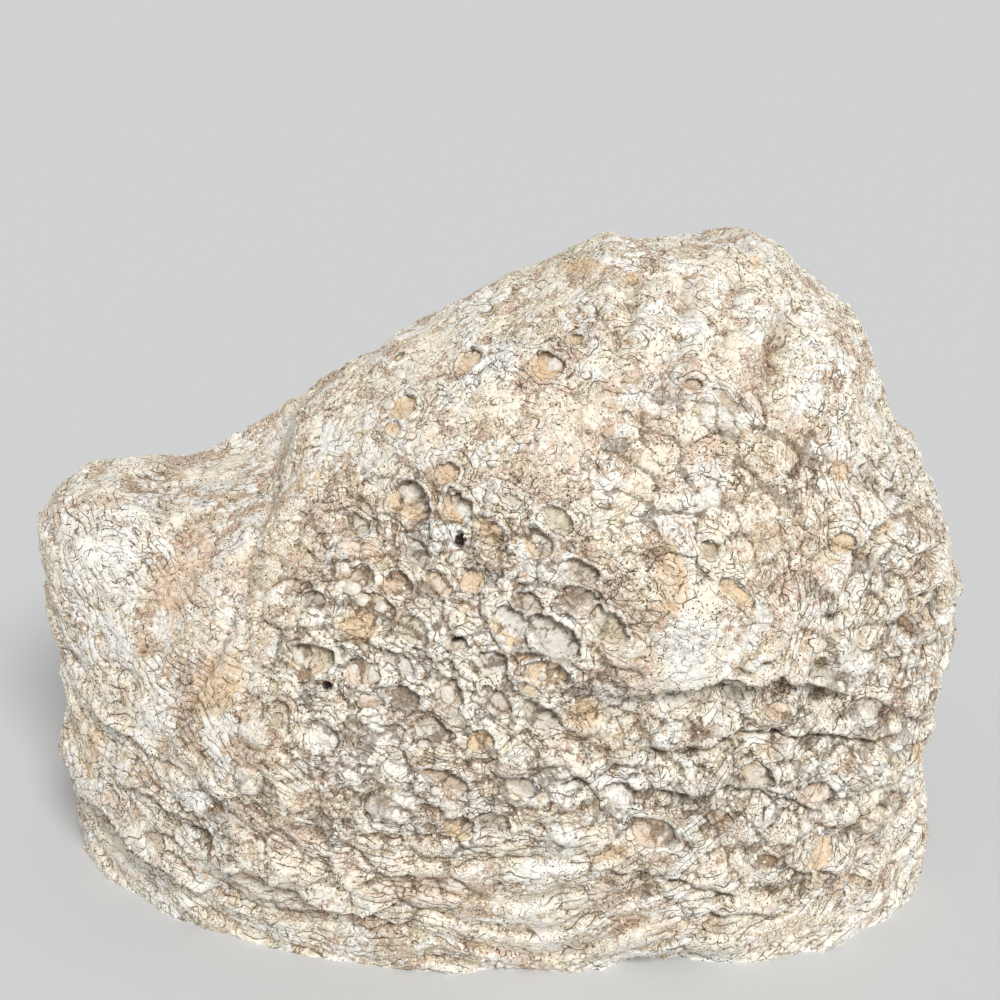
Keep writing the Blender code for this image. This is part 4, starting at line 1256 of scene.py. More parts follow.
class Bench:
    """A material's node tree, with a maker's short words for the nodes it takes."""

    def __init__(self, name: str) -> None:
        """Start a material with its shader and the object's own coordinates."""
        self.material = bpy.data.materials.new(name)
        self.material.use_nodes = True
        self.tree = self.material.node_tree
        self.shader = self.tree.nodes["Principled BSDF"]
        self.coords = self.tree.nodes.new("ShaderNodeTexCoord").outputs["Object"]

    def feed(self, socket: NodeSocket, value: NodeSocket | float | Colour) -> None:
        """Link a socket to another one, or set its value."""
        if isinstance(value, NodeSocket):
            self.tree.links.new(value, socket)
        elif isinstance(value, tuple) and socket.type == "RGBA":
            socket.default_value = (*value, 1.0)
        else:
            socket.default_value = value

    def math(self, operation: str, first: NodeSocket | float,
             second: NodeSocket | float = 0.0) -> NodeSocket:
        """Return a sum, product or the like of two values."""
        node = self.tree.nodes.new("ShaderNodeMath")
        node.operation = operation
        self.feed(node.inputs[0], first)
        self.feed(node.inputs[1], second)
        return node.outputs[0]

    def noise(self, size: float, detail: float = 2.0, roughness: float = 0.55,
              coords: NodeSocket | None = None, colour: bool = False) -> NodeSocket:
        """Return noise of a given size in mm, from 0 to 1."""
        node = self.tree.nodes.new("ShaderNodeTexNoise")
        self.feed(node.inputs["Vector"], coords or self.coords)
        node.inputs["Scale"].default_value = 1 / (size * MM)
        node.inputs["Detail"].default_value = detail
        node.inputs["Roughness"].default_value = roughness
        return node.outputs["Color" if colour else "Fac"]

    def cells(self, size: float, feature: str, coords: NodeSocket | None = None) -> NodeSocket:
        """Return a distance in Voronoi cells of a given size in mm."""
        node = self.tree.nodes.new("ShaderNodeTexVoronoi")
        node.feature = feature
        self.feed(node.inputs["Vector"], coords or self.coords)
        node.inputs["Scale"].default_value = 1 / (size * MM)
        return node.outputs["Distance"]

    def warped(self, size: float, amount: float) -> NodeSocket:
        """Return the coordinates bent by noise of a given size, by about amount mm."""
        centred = self.tree.nodes.new("ShaderNodeVectorMath")
        centred.operation = "SUBTRACT"
        self.feed(centred.inputs[0], self.noise(size, 2.0, colour=True))
        centred.inputs[1].default_value = (0.5, 0.5, 0.5)
        bent = self.tree.nodes.new("ShaderNodeVectorMath")
        bent.operation = "MULTIPLY_ADD"
        self.feed(bent.inputs[0], centred.outputs[0])
        bent.inputs[1].default_value = (2 * amount * MM,) * 3
        self.feed(bent.inputs[2], self.coords)
        return bent.outputs[0]

    def stretched(self, coords: NodeSocket, stretch: tuple[float, float, float]) -> NodeSocket:
        """Return coordinates stretched along the axes."""
        node = self.tree.nodes.new("ShaderNodeVectorMath")
        node.operation = "MULTIPLY"
        self.feed(node.inputs[0], coords)
        node.inputs[1].default_value = stretch
        return node.outputs[0]

    def step(self, value: NodeSocket, low: float, high: float, start: float = 0.0,
             end: float = 1.0) -> NodeSocket:
        """Rise smoothly from start at low to end at high."""
        node = self.tree.nodes.new("ShaderNodeMapRange")
        node.interpolation_type = "SMOOTHSTEP"
        self.feed(node.inputs["Value"], value)
        node.inputs["From Min"].default_value = low
        node.inputs["From Max"].default_value = high
        node.inputs["To Min"].default_value = start
        node.inputs["To Max"].default_value = end
        return node.outputs["Result"]

    def mix(self, share: NodeSocket | float, first: NodeSocket | Colour,
            second: NodeSocket | Colour, blend: str = "MIX") -> NodeSocket:
        """Return a blend of two colours."""
        node = self.tree.nodes.new("ShaderNodeMix")
        node.data_type = "RGBA"
        node.blend_type = blend
        self.feed(node.inputs["Factor"], share)
        self.feed(node.inputs[6], first)
        self.feed(node.inputs[7], second)
        return node.outputs[2]

    def grey(self, value: NodeSocket) -> NodeSocket:
        """Return a grey of a value."""
        node = self.tree.nodes.new("ShaderNodeCombineColor")
        for socket in node.inputs:
            self.feed(socket, value)
        return node.outputs[0]

    def attribute(self, name: str) -> NodeSocket:
        """Return a value stored on the mesh."""
        node = self.tree.nodes.new("ShaderNodeAttribute")
        node.attribute_name = name
        return node.outputs["Fac"]

    def bump(self, height: NodeSocket, depth: float, strength: float,
             before: NodeSocket | None = None) -> NodeSocket:
        """Return a normal for relief of a given depth in mm."""
        node = self.tree.nodes.new("ShaderNodeBump")
        node.inputs["Distance"].default_value = depth * MM
        node.inputs["Strength"].default_value = strength
        self.feed(node.inputs["Height"], height)
        if before is not None:
            self.feed(node.inputs["Normal"], before)
        return node.outputs["Normal"]


@dataclass(frozen=True)
class LimestoneFinish:
    """Dry chalky limestone: tan and cream ground, chalk flakes and stains, dark crease lines partly
    its own and partly painted shade, painted shade in hollows, slits and pores, and crests lightened
    partly as chalky wear and partly as a painted highlight.
    """

    name: str = "coral limestone"
    cream: Colour = (0.84, 0.75, 0.57)
    tan: Colour = (0.68, 0.52, 0.38)
    pink: Colour = (0.73, 0.57, 0.46)
    chalk: Colour = (0.97, 0.95, 0.89)
    ivory: Colour = (0.97, 0.90, 0.74)
    # crease: the colour of the dark crease lines, partly the stone's own cracks and partly painted
    # shade; pore: the painted shade in its tiny pits.
    crease: Colour = (0.13, 0.09, 0.055)
    pore: Colour = (0.04, 0.03, 0.02)
    shades: tuple[Shade, ...] = (
        Shade(Tint.PEACH, (0.82, 0.61, 0.45), 0.7, 2.4),
        Shade(Tint.BROWN, (0.60, 0.46, 0.32), 0.6, 1.6),
        Shade(Tint.OLIVE, (0.66, 0.60, 0.42), 0.6, 2.0),
        Shade(Tint.GREY, (0.62, 0.57, 0.49), 0.65, 2.0),
        Shade(Tint.OCHRE, (0.84, 0.62, 0.38), 0.75, 1.6),
        # The white shade also paints the cups' lip highlights.
        Shade(Tint.WHITE, (0.97, 0.94, 0.88), 0.8, 1.4),
        # The dark and black shades are painted shade.
        Shade(Tint.DARK, (0.20, 0.14, 0.09), 0.75, 0.8),
        Shade(Tint.BLACK, (0.035, 0.025, 0.02), 1.0, 0.8),
    )
    roughness: float = 0.92

    def strokes(self, bench: Bench, spacing: float, bend: float, thin: float) -> NodeSocket:
        """Return thin strokes that wander along the growth layers, in clusters."""
        winding = bench.math("MULTIPLY", bench.noise(1.15 * spacing, 2.0, 0.55), bend)
        along = bench.math("MULTIPLY", bench.attribute("growth"), 1 / spacing)
        turn = bench.math("MULTIPLY", bench.math("ADD", along, winding), math.pi)
        wave = bench.math("ABSOLUTE", bench.math("SINE", turn))
        line = bench.step(wave, 0.0, thin, 1.0, 0.0)
        broken = bench.step(bench.noise(0.6 * spacing, 1.0), 0.42, 0.56)
        clustered = bench.step(bench.noise(3.4 * spacing, 3.0), 0.46, 0.56)
        return bench.math("MULTIPLY", line, bench.math("MULTIPLY", broken, clustered))

    def fold_line(self, bench: Bench, name: str, thin: float) -> NodeSocket:
        """Return the thin dark line in the creases of the wrinkles, painted shade."""
        wave = bench.math("ABSOLUTE", bench.attribute(name))
        broken = bench.step(bench.noise(2.2, 3.0), 0.40, 0.58)
        return bench.math("MULTIPLY", bench.step(wave, 0.0, thin, 1.0, 0.0), broken)

    def spaced_lines(self, bench: Bench, name: str, spacing: float, thin: float) -> NodeSocket:
        """Return thin broken lines where a stored distance is a whole number of spacings."""
        turn = bench.math("MULTIPLY", bench.attribute(name), math.pi / spacing)
        wave = bench.math("ABSOLUTE", bench.math("SINE", turn))
        broken = bench.step(bench.noise(2.0, 3.0), 0.38, 0.54)
        return bench.math("MULTIPLY", bench.step(wave, 0.0, thin, 1.0, 0.0), broken)

    def laminae(self, bench: Bench) -> NodeSocket:
        """Return the thin lines between the growth layers, where they show: painted shade in the
        creases between them.
        """
        lines = self.spaced_lines(bench, "growth", LAMINA_SPACING, 0.3)
        return bench.math("MULTIPLY", lines, bench.attribute("layered"))

    def cup_rings(self, bench: Bench) -> NodeSocket:
        """Return the thin lines between the ridges round the cups: painted shade in the troughs."""
        lines = self.spaced_lines(bench, "rings", RING_SPACING, 0.32)
        near = bench.step(bench.attribute("rings"), 3.0, 5.0, 1.0, 0.0)
        outside = bench.step(bench.attribute("rings"), -1.4, -0.8)
        return bench.math("MULTIPLY", lines, bench.math("MULTIPLY", near, outside))

    def creases(self, bench: Bench) -> NodeSocket:
        """Return how dark the fine crease lines are: partly the stone's own dark cracks, partly
        painted shade in the creases.
        """
        dark = bench.math("MAXIMUM", self.fold_line(bench, "fold", 0.07),
                          self.fold_line(bench, "wide fold", 0.05))
        dark = bench.math("MAXIMUM", dark, self.laminae(bench))
        dark = bench.math("MAXIMUM", dark, self.cup_rings(bench))
        dark = bench.math("MAXIMUM", dark, bench.math(
            "MULTIPLY", self.strokes(bench, 1.5, 4.5, 0.34), 0.66))
        return bench.math("MAXIMUM", dark, bench.math(
            "MULTIPLY", self.strokes(bench, 0.8, 4.0, 0.46), 0.64))

    def ground(self, bench: Bench) -> NodeSocket:
        """Return the mottled ground and the chalk on it."""
        colour = bench.mix(bench.step(bench.noise(6.0, 4.0, 0.6), 0.40, 0.62), self.cream, self.tan)
        pink = bench.math("MULTIPLY", bench.step(bench.noise(11.0, 3.0, 0.6), 0.46, 0.60), 0.7)
        colour = bench.mix(pink, colour, self.pink)
        mottle = bench.step(bench.noise(0.45, 3.0, 0.75), 0.36, 0.64, 0.62, 1.3)
        colour = bench.mix(1.0, colour, bench.grey(mottle), "MULTIPLY")
        speckle = bench.step(bench.noise(0.26, 2.0, 0.6), 0.40, 0.60, 0.74, 1.2)
        colour = bench.mix(1.0, colour, bench.grey(speckle), "MULTIPLY")
        ragged = bench.math("MULTIPLY", bench.noise(1.3, 4.0, 0.68, bench.warped(1.4, 0.5)), 1.5)
        region = bench.step(bench.noise(17.0, 2.0), 0.36, 0.64, -0.12, 0.14)
        amount = bench.math("ADD", bench.math("ADD", bench.attribute("chalk"), ragged), region)
        chalk = bench.mix(bench.step(bench.noise(9.0, 3.0), 0.42, 0.58), self.chalk, self.ivory)
        return bench.mix(bench.step(amount, 1.16, 1.22, 0.0, 0.95), colour, chalk)

    def stained(self, bench: Bench, colour: NodeSocket) -> NodeSocket:
        """Return the colour with every stain and painted shade laid over it, each with a ragged edge.
        """
        for shade in self.shades:
            ragged = bench.math("SUBTRACT", bench.noise(shade.ragged, 3.0, 0.6), 0.5)
            amount = bench.math("ADD", bench.attribute(shade.tint.value),
                                bench.math("MULTIPLY", ragged, 1.3))
            share = bench.step(amount, 0.30, 0.80, 0.0, shade.strength)
            colour = bench.mix(share, colour, shade.colour)
        return colour

    def build(self) -> Material:
        """Return the material."""
        bench = Bench(self.name)
        rough = bench.math("SUBTRACT", 1.0, bench.math("MULTIPLY", bench.attribute("calm"), 0.8))
        dark = bench.math("MULTIPLY", self.creases(bench), rough)
        colour = self.stained(bench, self.ground(bench))
        # Raised crests are lightened towards chalk: partly the chalky wear of the stone's edges,
        # partly a painted highlight.
        crest = bench.math("MULTIPLY", bench.attribute("crest"), 0.35)
        colour = bench.mix(crest, colour, self.chalk)
        # Painted shade: the hollows are darkened.
        hollow = bench.math("MULTIPLY", bench.math("MULTIPLY", bench.attribute("hollow"), rough), 0.5)
        colour = bench.mix(hollow, colour, bench.mix(1.0, colour, (0.42, 0.34, 0.26), "MULTIPLY"))
        # The crease lines: partly the stone's own dark cracks, partly painted shade in the creases.
        colour = bench.mix(bench.math("MULTIPLY", dark, 0.92), colour, self.crease)
        # Pores: black dots painted as the shade in tiny pits.
        dots = bench.step(bench.cells(0.8, "F1", bench.warped(1.5, 0.3)), 0.15, 0.25, 1.0, 0.0)
        porous = bench.step(bench.noise(4.5, 3.0), 0.47, 0.57)
        pores = bench.math("MULTIPLY", bench.math("MULTIPLY", dots, porous), rough)
        colour = bench.mix(bench.math("MULTIPLY", pores, 0.85), colour, self.pore)
        bench.feed(bench.shader.inputs["Base Color"], colour)
        bench.shader.inputs["Roughness"].default_value = self.roughness
        bench.shader.inputs["Specular IOR Level"].default_value = 0.2
        height = bench.math("SUBTRACT", 1.0, bench.math("ADD", dark, pores))
        fine = bench.bump(bench.noise(0.7, 4.0, 0.7), 0.36, 0.8)
        bench.feed(bench.shader.inputs["Normal"], bench.bump(height, 0.22, 0.9, fine))
        return bench.material


@dataclass(frozen=True)
class CalciteFinish:
    """Smooth white calcite, a little cloudy, with a soft gloss."""

    name: str = "white calcite"
    white: Colour = (0.84, 0.80, 0.72)
    cloud: Colour = (0.66, 0.59, 0.48)
    stain: Colour = (0.50, 0.38, 0.26)
    roughness: float = 0.65

    def build(self) -> Material:
        """Return the material."""
        bench = Bench(self.name)
        colour = bench.mix(bench.step(bench.noise(1.1, 4.0, 0.65), 0.44, 0.62), self.white, self.cloud)
        specks = bench.step(bench.cells(0.8, "F1"), 0.05, 0.13, 0.6, 0.0)
        colour = bench.mix(specks, colour, self.stain)
        bench.feed(bench.shader.inputs["Base Color"], colour)
        bench.shader.inputs["Roughness"].default_value = self.roughness
        bench.feed(bench.shader.inputs["Normal"], bench.bump(bench.noise(0.6, 3.0), 0.2, 0.7))
        return bench.material


@dataclass(frozen=True)
class GrainFinish:
    """Loose lime grains, each a little paler or tanner than the next."""

    name: str = "lime grains"
    pale: Colour = (0.93, 0.89, 0.80)
    tan: Colour = (0.71, 0.57, 0.42)
    roughness: float = 0.9

    def build(self) -> Material:
        """Return the material."""
        bench = Bench(self.name)
        colour = bench.mix(bench.step(bench.noise(2.6, 3.0, 0.6), 0.44, 0.62), self.pale, self.tan)
        bench.feed(bench.shader.inputs["Base Color"], colour)
        bench.shader.inputs["Roughness"].default_value = self.roughness
        bench.shader.inputs["Specular IOR Level"].default_value = 0.25
        bench.feed(bench.shader.inputs["Normal"], bench.bump(bench.noise(0.35, 3.0), 0.15, 0.6))
        return bench.material


def dress(piece: Object) -> Object:
    """Place a piece on the block's body, in place of its plain solid."""
    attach(piece, "root")
    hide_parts(CAD_NODE)
    return piece


def triangle_mesh(points: Grid, triangles: Grid) -> Mesh:
    """Return a mesh of points in mm and triangles."""
    mesh = bpy.data.meshes.new("triangles")
    mesh.vertices.add(len(points))
    mesh.vertices.foreach_set("co", (points * MM).ravel())
    mesh.loops.add(triangles.size)
    mesh.loops.foreach_set("vertex_index", triangles.ravel())
    mesh.polygons.add(len(triangles))
    mesh.polygons.foreach_set("loop_start", np.arange(0, triangles.size, 3))
    mesh.update(calc_edges=True)
    return mesh


def new_piece(name: str, mesh: Mesh, material: Material) -> Object:
    """Return a smooth-shaded object of a mesh, linked to the scene."""
    mesh.name = name
    mesh.materials.clear()
    mesh.materials.append(material)
    mesh.shade_smooth()
    piece = bpy.data.objects.new(name, mesh)
    bpy.context.scene.collection.objects.link(piece)
    return piece


@dataclass
class Skin:
    """The block's finished skin: points in mm, triangles, unit normals and marks at the points."""

    points: Grid
    triangles: Grid
    marks: dict[str, Grid]
    normals: Grid = field(init=False)
    base: Grid = field(init=False)

    def __post_init__(self) -> None:
        """Find the flat base's triangles, and the normals without them."""
        self.base = self.points[self.triangles][:, :, 2].max(axis=1) < FLAT_BASE
        self.normals = vertex_normals(self.points, self.triangles[~self.base])

    @classmethod
    def of(cls, mesh: Mesh) -> "Skin":
        """Return the skin of a mesh, with its stored values as marks."""
        marks = {}
        for attribute in mesh.attributes:
            if attribute.data_type == "FLOAT" and attribute.domain == "POINT":
                marks[attribute.name] = np.empty(len(mesh.vertices))
                attribute.data.foreach_get("value", marks[attribute.name])
        return cls(read_points(mesh), read_triangles(mesh), marks)

    def mark_hollows(self, steps: tuple[int, ...], depths: Place) -> None:
        """Mark how hollow and how raised each point is, next to its smoothed neighbourhood: the finish
        paints shade in the hollows and lightens the crests.
        """
        hollow, crest = np.zeros(len(self.points)), np.zeros(len(self.points))
        smooth, done = self.points.copy(), 0
        for step, scale in zip(steps, depths):
            smooth = smoothed(smooth, self.triangles, step - done)
            done = step
            depth = np.einsum("ij,ij->i", smooth - self.points, self.normals) / scale
            hollow = np.maximum(hollow, smooth_step(0.2, 1.2, depth))
            crest = np.maximum(crest, smooth_step(0.2, 1.2, -depth))
        self.marks["hollow"], self.marks["crest"] = hollow, crest


@dataclass(frozen=True)
class BlockSlice:
    """One upright slice of the block, closed by walls inside the stone."""

    strips: int = 3
    margin: float = 0.012
    skin_share: float = 0.9
    flat_place: float = 0.92
    flat_height: float = 0.07

    def inner_walls(self, points: Grid, triangles: Grid) -> tuple[Grid, Grid]:
        """Fan each open edge of a slice to a point in its middle.

        Args:
            points: The slice's points.
            triangles: The slice's triangles.

        Returns:
            The middle points, and the walls' triangles, which count those points on.
        """
        sides = np.concatenate([triangles[:, [0, 1]], triangles[:, [1, 2]], triangles[:, [2, 0]]])
        count = len(points)
        ahead = sides[:, 0] * count + sides[:, 1]
        back = sides[:, 1] * count + sides[:, 0]
        following: dict[int, list[int]] = {}
        for start, end in sides[~np.isin(ahead, back)].tolist():
            following.setdefault(start, []).append(end)
        middles, walls = [], []
        while following:
            first = at = next(iter(following))
            loop = []
            while at in following:
                loop.append(at)
                after = following[at].pop()
                if not following[at]:
                    del following[at]
                walls.append((after, at, count + len(middles)))
                at = after
                if at == first:
                    break
            middles.append(points[loop].mean(axis=0))
        return np.array(middles).reshape(-1, 3), np.array(walls, dtype=np.int64).reshape(-1, 3)

    def skin_map(self, directions: Grid, triangles: Grid) -> Grid:
        """Unroll the skin round the block's long axis into strips, side by side."""
        reach = np.arcsin(np.clip(directions[:, 0], -1, 1))
        low, high = reach.min(), reach.max()
        turn = np.arctan2(directions[:, 2], -directions[:, 1]) / (2 * math.pi) + 0.25
        corners = turn[triangles]
        corners = corners - np.round(corners - corners[:, :1])
        middle = corners.mean(axis=1)
        corners -= np.floor(middle)[:, None]
        strip = np.floor((middle - np.floor(middle)) * self.strips)[:, None]
        up = np.clip(corners * self.strips - strip, 0, 1) * self.skin_share
        along = (reach[triangles] - low) / (high - low) * (1 - 2 * self.margin) + self.margin
        return np.stack([(strip + along) / self.strips, up], axis=2)

    def flat_map(self, places: Grid, start: float) -> Grid:
        """Lay flat faces into a box above the strips."""
        low, high = places.min(axis=(0, 1)), places.max(axis=(0, 1))
        share = (places - low) / np.maximum(high - low, 1e-9)
        return share * (0.45, self.flat_height) + (start, self.flat_place)

    def build(self, name: str, skin: Skin, chosen: Grid, material: Material) -> Object:
        """Return the slice.

        Args:
            name: The piece's name.
            skin: The whole block's skin.
            chosen: The numbers of the slice's triangles.
            material: The stone's material.

        Returns:
            The closed slice.
        """
        used, faces = np.unique(skin.triangles[chosen], return_inverse=True)
        faces = faces.reshape(-1, 3)
        points, base = skin.points[used], skin.base[chosen]
        middles, walls = self.inner_walls(points, faces)
        points = np.concatenate([points, middles])
        directions = np.stack([skin.marks[name] for name in DIRECTION_MARKS], axis=1)[used]
        normals = skin.normals[used][faces]
        normals[base] = (0, 0, -1)
        facing = face_vectors(points, walls)
        facing /= np.maximum(np.linalg.norm(facing, axis=1), 1e-12)[:, None]
        normals = np.concatenate([normals, np.repeat(facing[:, None, :], 3, axis=1)])
        places = self.skin_map(directions, faces)
        if base.any():
            places[base] = self.flat_map(points[faces[base]][:, :, :2], 0.02)
        places = np.concatenate([places, self.flat_map(points[walls][:, :, 1:], 0.52)])
        mesh = triangle_mesh(points, np.concatenate([faces, walls]))
        layer = mesh.uv_layers.new(name="OFBake")
        layer.data.foreach_set("uv", places.ravel())
        for mark, values in skin.marks.items():
            if mark not in DIRECTION_MARKS:
                padded = np.concatenate([values[used], np.zeros(len(middles))])
                mesh.attributes.new(mark, "FLOAT", "POINT").data.foreach_set("value", padded)
        piece = new_piece(name, mesh, material)
        mesh.normals_split_custom_set(normals.reshape(-1, 3).tolist())
        return dress(piece)


@dataclass
class StoneBlock:
    """The whole block of limestone, worked from its smooth body to its crumbled crust."""

    finish: LimestoneFinish = LimestoneFinish()
    coarse: int = 7
    dense: int = 9
    quick_dense: int = 8
    below_floor: float = -3.0
    names: tuple[str, ...] = ("block_left", "block_mid_left", "block_mid_right", "block_right")
    slice_triangles: int = 196000
    front_weight: float = 0.5
    plain_strength: float = 0.004
    hollow_steps: tuple[int, ...] = (4, 16, 60)
    hollow_depths: tuple[float, ...] = (0.2, 0.4, 1.2)

    def worked_surface(self, mesh: Mesh) -> Surface:
        """Return a sphere's mesh worked into the block, with all its relief."""
        form = BlockForm()
        rough = icosphere(self.coarse, "coarse block")
        guide = Surface(form.points(read_points(rough)), read_triangles(rough))
        body = Body()
        body_finder = FaceFinder.of(guide)
        body.work(guide, body_finder)
        finder = FaceFinder.of(guide)
        bpy.data.meshes.remove(rough)
        surface = Surface(form.points(read_points(mesh)), read_triangles(mesh))
        body.work(surface, body_finder)
        self.carve(surface, finder)
        surface.settle()
        self.roughen(surface)
        surface.settle()
        surface.points += (*PLAN_SHIFT, 0)
        surface.points[:, 2] = np.maximum(surface.points[:, 2], self.below_floor)
        return surface

    def carve(self, surface: Surface, finder: FaceFinder) -> None:
        """Cut the ledges, creases, cups, nodules, bands and cells."""
        ledges = LedgeWork()
        ledges.work(surface, finder, LEDGES)
        ledges.work(surface, finder, FINE_LEDGES)
        ledges.work(surface, finder, BACK_LEDGES, front=False)
        CreaseWork().work(surface, finder)
        cups = CupWork()
        cups.work(surface, finder, CUPS + FINE_CUPS)
        cups.work(surface, finder, BackPitWork().cups(finder), front=False)
        NoduleWork().work(surface, finder, NODULES + FINE_NODULES)
        SeatWork().work(surface, finder, bead_clusters())
        RingWork().work(surface)
        bands = BandWork()
        bands.work(surface)
        LaminaWork().work(surface, bands)
        wide = (Area(-10, 62, 40, 34), Area(44, 34, 44, 26), Area(-30, 26, 36, 20),
                Area(70, 70, 22, 24), Area(36, 92, 26, 16))
        ScallopWork(6.5, 0.5, 0.3, 1.0, wide).work(surface)
        close = (Area(-8, 62, 34, 30), Area(46, 46, 42, 18), Area(-10, 38, 30, 12))
        ScallopWork(3.4, 0.3, 0.25, 0.6, close, warp=(6.0, 0.35)).work(surface)
        self.stain(surface, finder)

    def stain(self, surface: Surface, finder: FaceFinder) -> None:
        """Lay the stained patches on the front."""
        for patch in PATCHES:
            centre, normal = finder.place(patch.x, patch.z)
            oval = Oval(centre, normal, patch.across, patch.up, patch.turn)
            chosen = surface.near(centre, 1.8 * max(patch.across, patch.up))
            far, _ = oval.spread(surface.points[chosen])
            surface.stain(patch.tint, chosen, patch.strength * (1 - smooth_step(0.55, 1.5, far)))

    def roughen(self, surface: Surface) -> None:
        """Crumble the crust all over, and wrinkle it along the flank and the foot."""
        FlakeWork(4.4, 0.17, 0.7, 0.6).work(surface)
        FlakeWork(1.8, 0.1, 0.6, 0.4).work(surface)
        WrinkleWork(3.1, 0.3, (0.85, 1.0, 1.15)).work(surface, "wide fold")
        WrinkleWork(1.6, 0.26, (0.9, 1.0, 1.1), shift=41.0).work(surface, "fold")
        WrinkleWork(0.9, 0.13, (0.95, 1.0, 1.05), shift=73.0).work(surface)
        flank = (Area(-70, 45, 22, 40),)
        WrinkleWork(1.9, 0.25, (1.2, 1.0, 0.3), flank, shift=7.0).work(surface)
        foot = (Area(-20, 14, 60, 16), Area(45, 14, 45, 18))
        WrinkleWork(1.8, 0.25, (0.3, 1.0, 1.2), foot, shift=19.0).work(surface)

    def thin_out(self, block: Object, front: Grid) -> None:
        """Merge the triangles that the shape doesn't need, more of them on the back."""
        plain = block.vertex_groups.new(name="plain back")
        weights = np.round(1 - (1 - self.front_weight) * front, 2)
        for weight in np.unique(weights):
            plain.add(np.flatnonzero(weights == weight).tolist(), float(weight), "REPLACE")
        thin = block.modifiers.new("Fewer triangles", "DECIMATE")
        thin.ratio = min(1.0, self.slice_triangles * len(self.names) / len(block.data.polygons))
        thin.vertex_group = plain.name
        thin.vertex_group_factor = self.plain_strength
        depsgraph = bpy.context.evaluated_depsgraph_get()
        whole = block.data
        block.data = bpy.data.meshes.new_from_object(block.evaluated_get(depsgraph))
        bpy.data.meshes.remove(whole)

    def stand_flat(self, mesh: Mesh) -> None:
        """Cut the block off flat at the floor."""
        work = bmesh.new()
        work.from_mesh(mesh)
        everything = work.verts[:] + work.edges[:] + work.faces[:]
        cut = bmesh.ops.bisect_plane(
            work, geom=everything, plane_co=(0, 0, 0), plane_no=(0, 0, 1), clear_inner=True)
        rim = [item for item in cut["geom_cut"] if isinstance(item, bmesh.types.BMEdge)]
        bmesh.ops.contextual_create(work, geom=rim)
        bmesh.ops.triangulate(work, faces=[face for face in work.faces if len(face.verts) > 3])
        bmesh.ops.recalc_face_normals(work, faces=work.faces[:])
        work.to_mesh(mesh)
        work.free()

    def finished_skin(self) -> Skin:
        """Return the block's finished skin."""
        mesh = icosphere(self.dense, "block")
        directions = read_points(mesh)
        surface = self.worked_surface(mesh)
        LOG.info("worked the block's surface at %d points", len(surface.points))
        write_points(mesh, surface.points)
        marks = {tint.value: values for tint, values in surface.stains_and_painted_light.items()}
        marks.update(surface.folds, calm=surface.calm, growth=surface.growth, rings=surface.rings,
                     layered=surface.layered, chalk=surface.chalk)
        marks.update(zip(DIRECTION_MARKS, directions.T))
        for name, values in marks.items():
            mesh.attributes.new(name, "FLOAT", "POINT").data.foreach_set("value", values)
        block = bpy.data.objects.new("whole block", mesh)
        bpy.context.scene.collection.objects.link(block)
        self.thin_out(block, smooth_step(-0.4, 0.3, -surface.normals[:, 1]))
        self.stand_flat(block.data)
        skin = Skin.of(block.data)
        bpy.data.meshes.remove(block.data)
        skin.mark_hollows(self.hollow_steps, self.hollow_depths)
        return skin

    def build(self) -> Skin:
        """Build the block in upright slices, and return its whole skin."""
        skin = self.finished_skin()
        material = self.finish.build()
        across = skin.marks[DIRECTION_MARKS[0]][skin.triangles].mean(axis=1)
        shares = np.linspace(0, 1, len(self.names) + 1)[1:-1]
        numbers = np.searchsorted(np.quantile(across, shares), across)
        for number, name in enumerate(self.names):
            piece = BlockSlice().build(name, skin, np.flatnonzero(numbers == number), material)
            LOG.info("%s: %d triangles", piece.name, len(piece.data.polygons))
        return skin


def smoothed(points: Grid, triangles: Grid, steps: int) -> Grid:
    """Return points after each has moved to the middle of its neighbours, some times over."""
    edges = np.concatenate([triangles[:, [0, 1]], triangles[:, [1, 2]], triangles[:, [2, 0]]])
    count = np.bincount(edges[:, 0], minlength=len(points))
    count = np.maximum(count, 1)[:, None]
    for _ in range(steps):
        total = np.stack([
            np.bincount(edges[:, 0], weights=points[edges[:, 1], axis], minlength=len(points))
            for axis in range(3)], axis=1)
        points = total / count
    return points


@dataclass(frozen=True)
class View:
    """The place that the block is mostly seen from, and its lens."""

    place_m: tuple[float, float, float] = (0.0005, -0.3567, 0.2305)
    down: float = 23.6
    lens: float = 75.6
    sensor: float = 36.0


@dataclass
class SkinFinder:
    """Finds places on the finished block."""

    tree: BVHTree
    view: View

    @classmethod
    def of(cls, skin: Skin, view: View) -> "SkinFinder":
        """Return a finder for a finished block."""
        corners = (skin.points * MM).tolist()
        return cls(BVHTree.FromPolygons(corners, skin.triangles.tolist()), view)

    def behind(self, point: Vector) -> tuple[Vector, Vector]:
        """Return the skin's point and normal on the line of sight through a point, in metres."""
        eye = Vector(self.view.place_m)
        hit, normal, _, _ = self.tree.ray_cast(eye, (point - eye).normalized())
        if hit is None:
            hit, normal, _, _ = self.tree.find_nearest(point)
        return hit, normal


def bead_clusters() -> list[Bead]:
    """Return every bead with the smaller beads that crowd round it."""
    draw = np.random.default_rng(11)
    beads = []
    for bead in BEADS:
        beads.append(bead._replace(along=0.8 * bead.along, across=0.8 * bead.across))
        for _ in range(draw.integers(0, 3)):
            angle, reach = draw.uniform(0, 2 * math.pi), draw.uniform(1.1, 1.5) * bead.across
            along = bead.along * draw.uniform(0.35, 0.6)
            beads.append(bead._replace(
                x=bead.x + reach * math.cos(angle), z=bead.z + reach * math.sin(angle),
                along=along, across=along * draw.uniform(0.65, 0.95), turn=draw.uniform(0, 180)))
    return beads


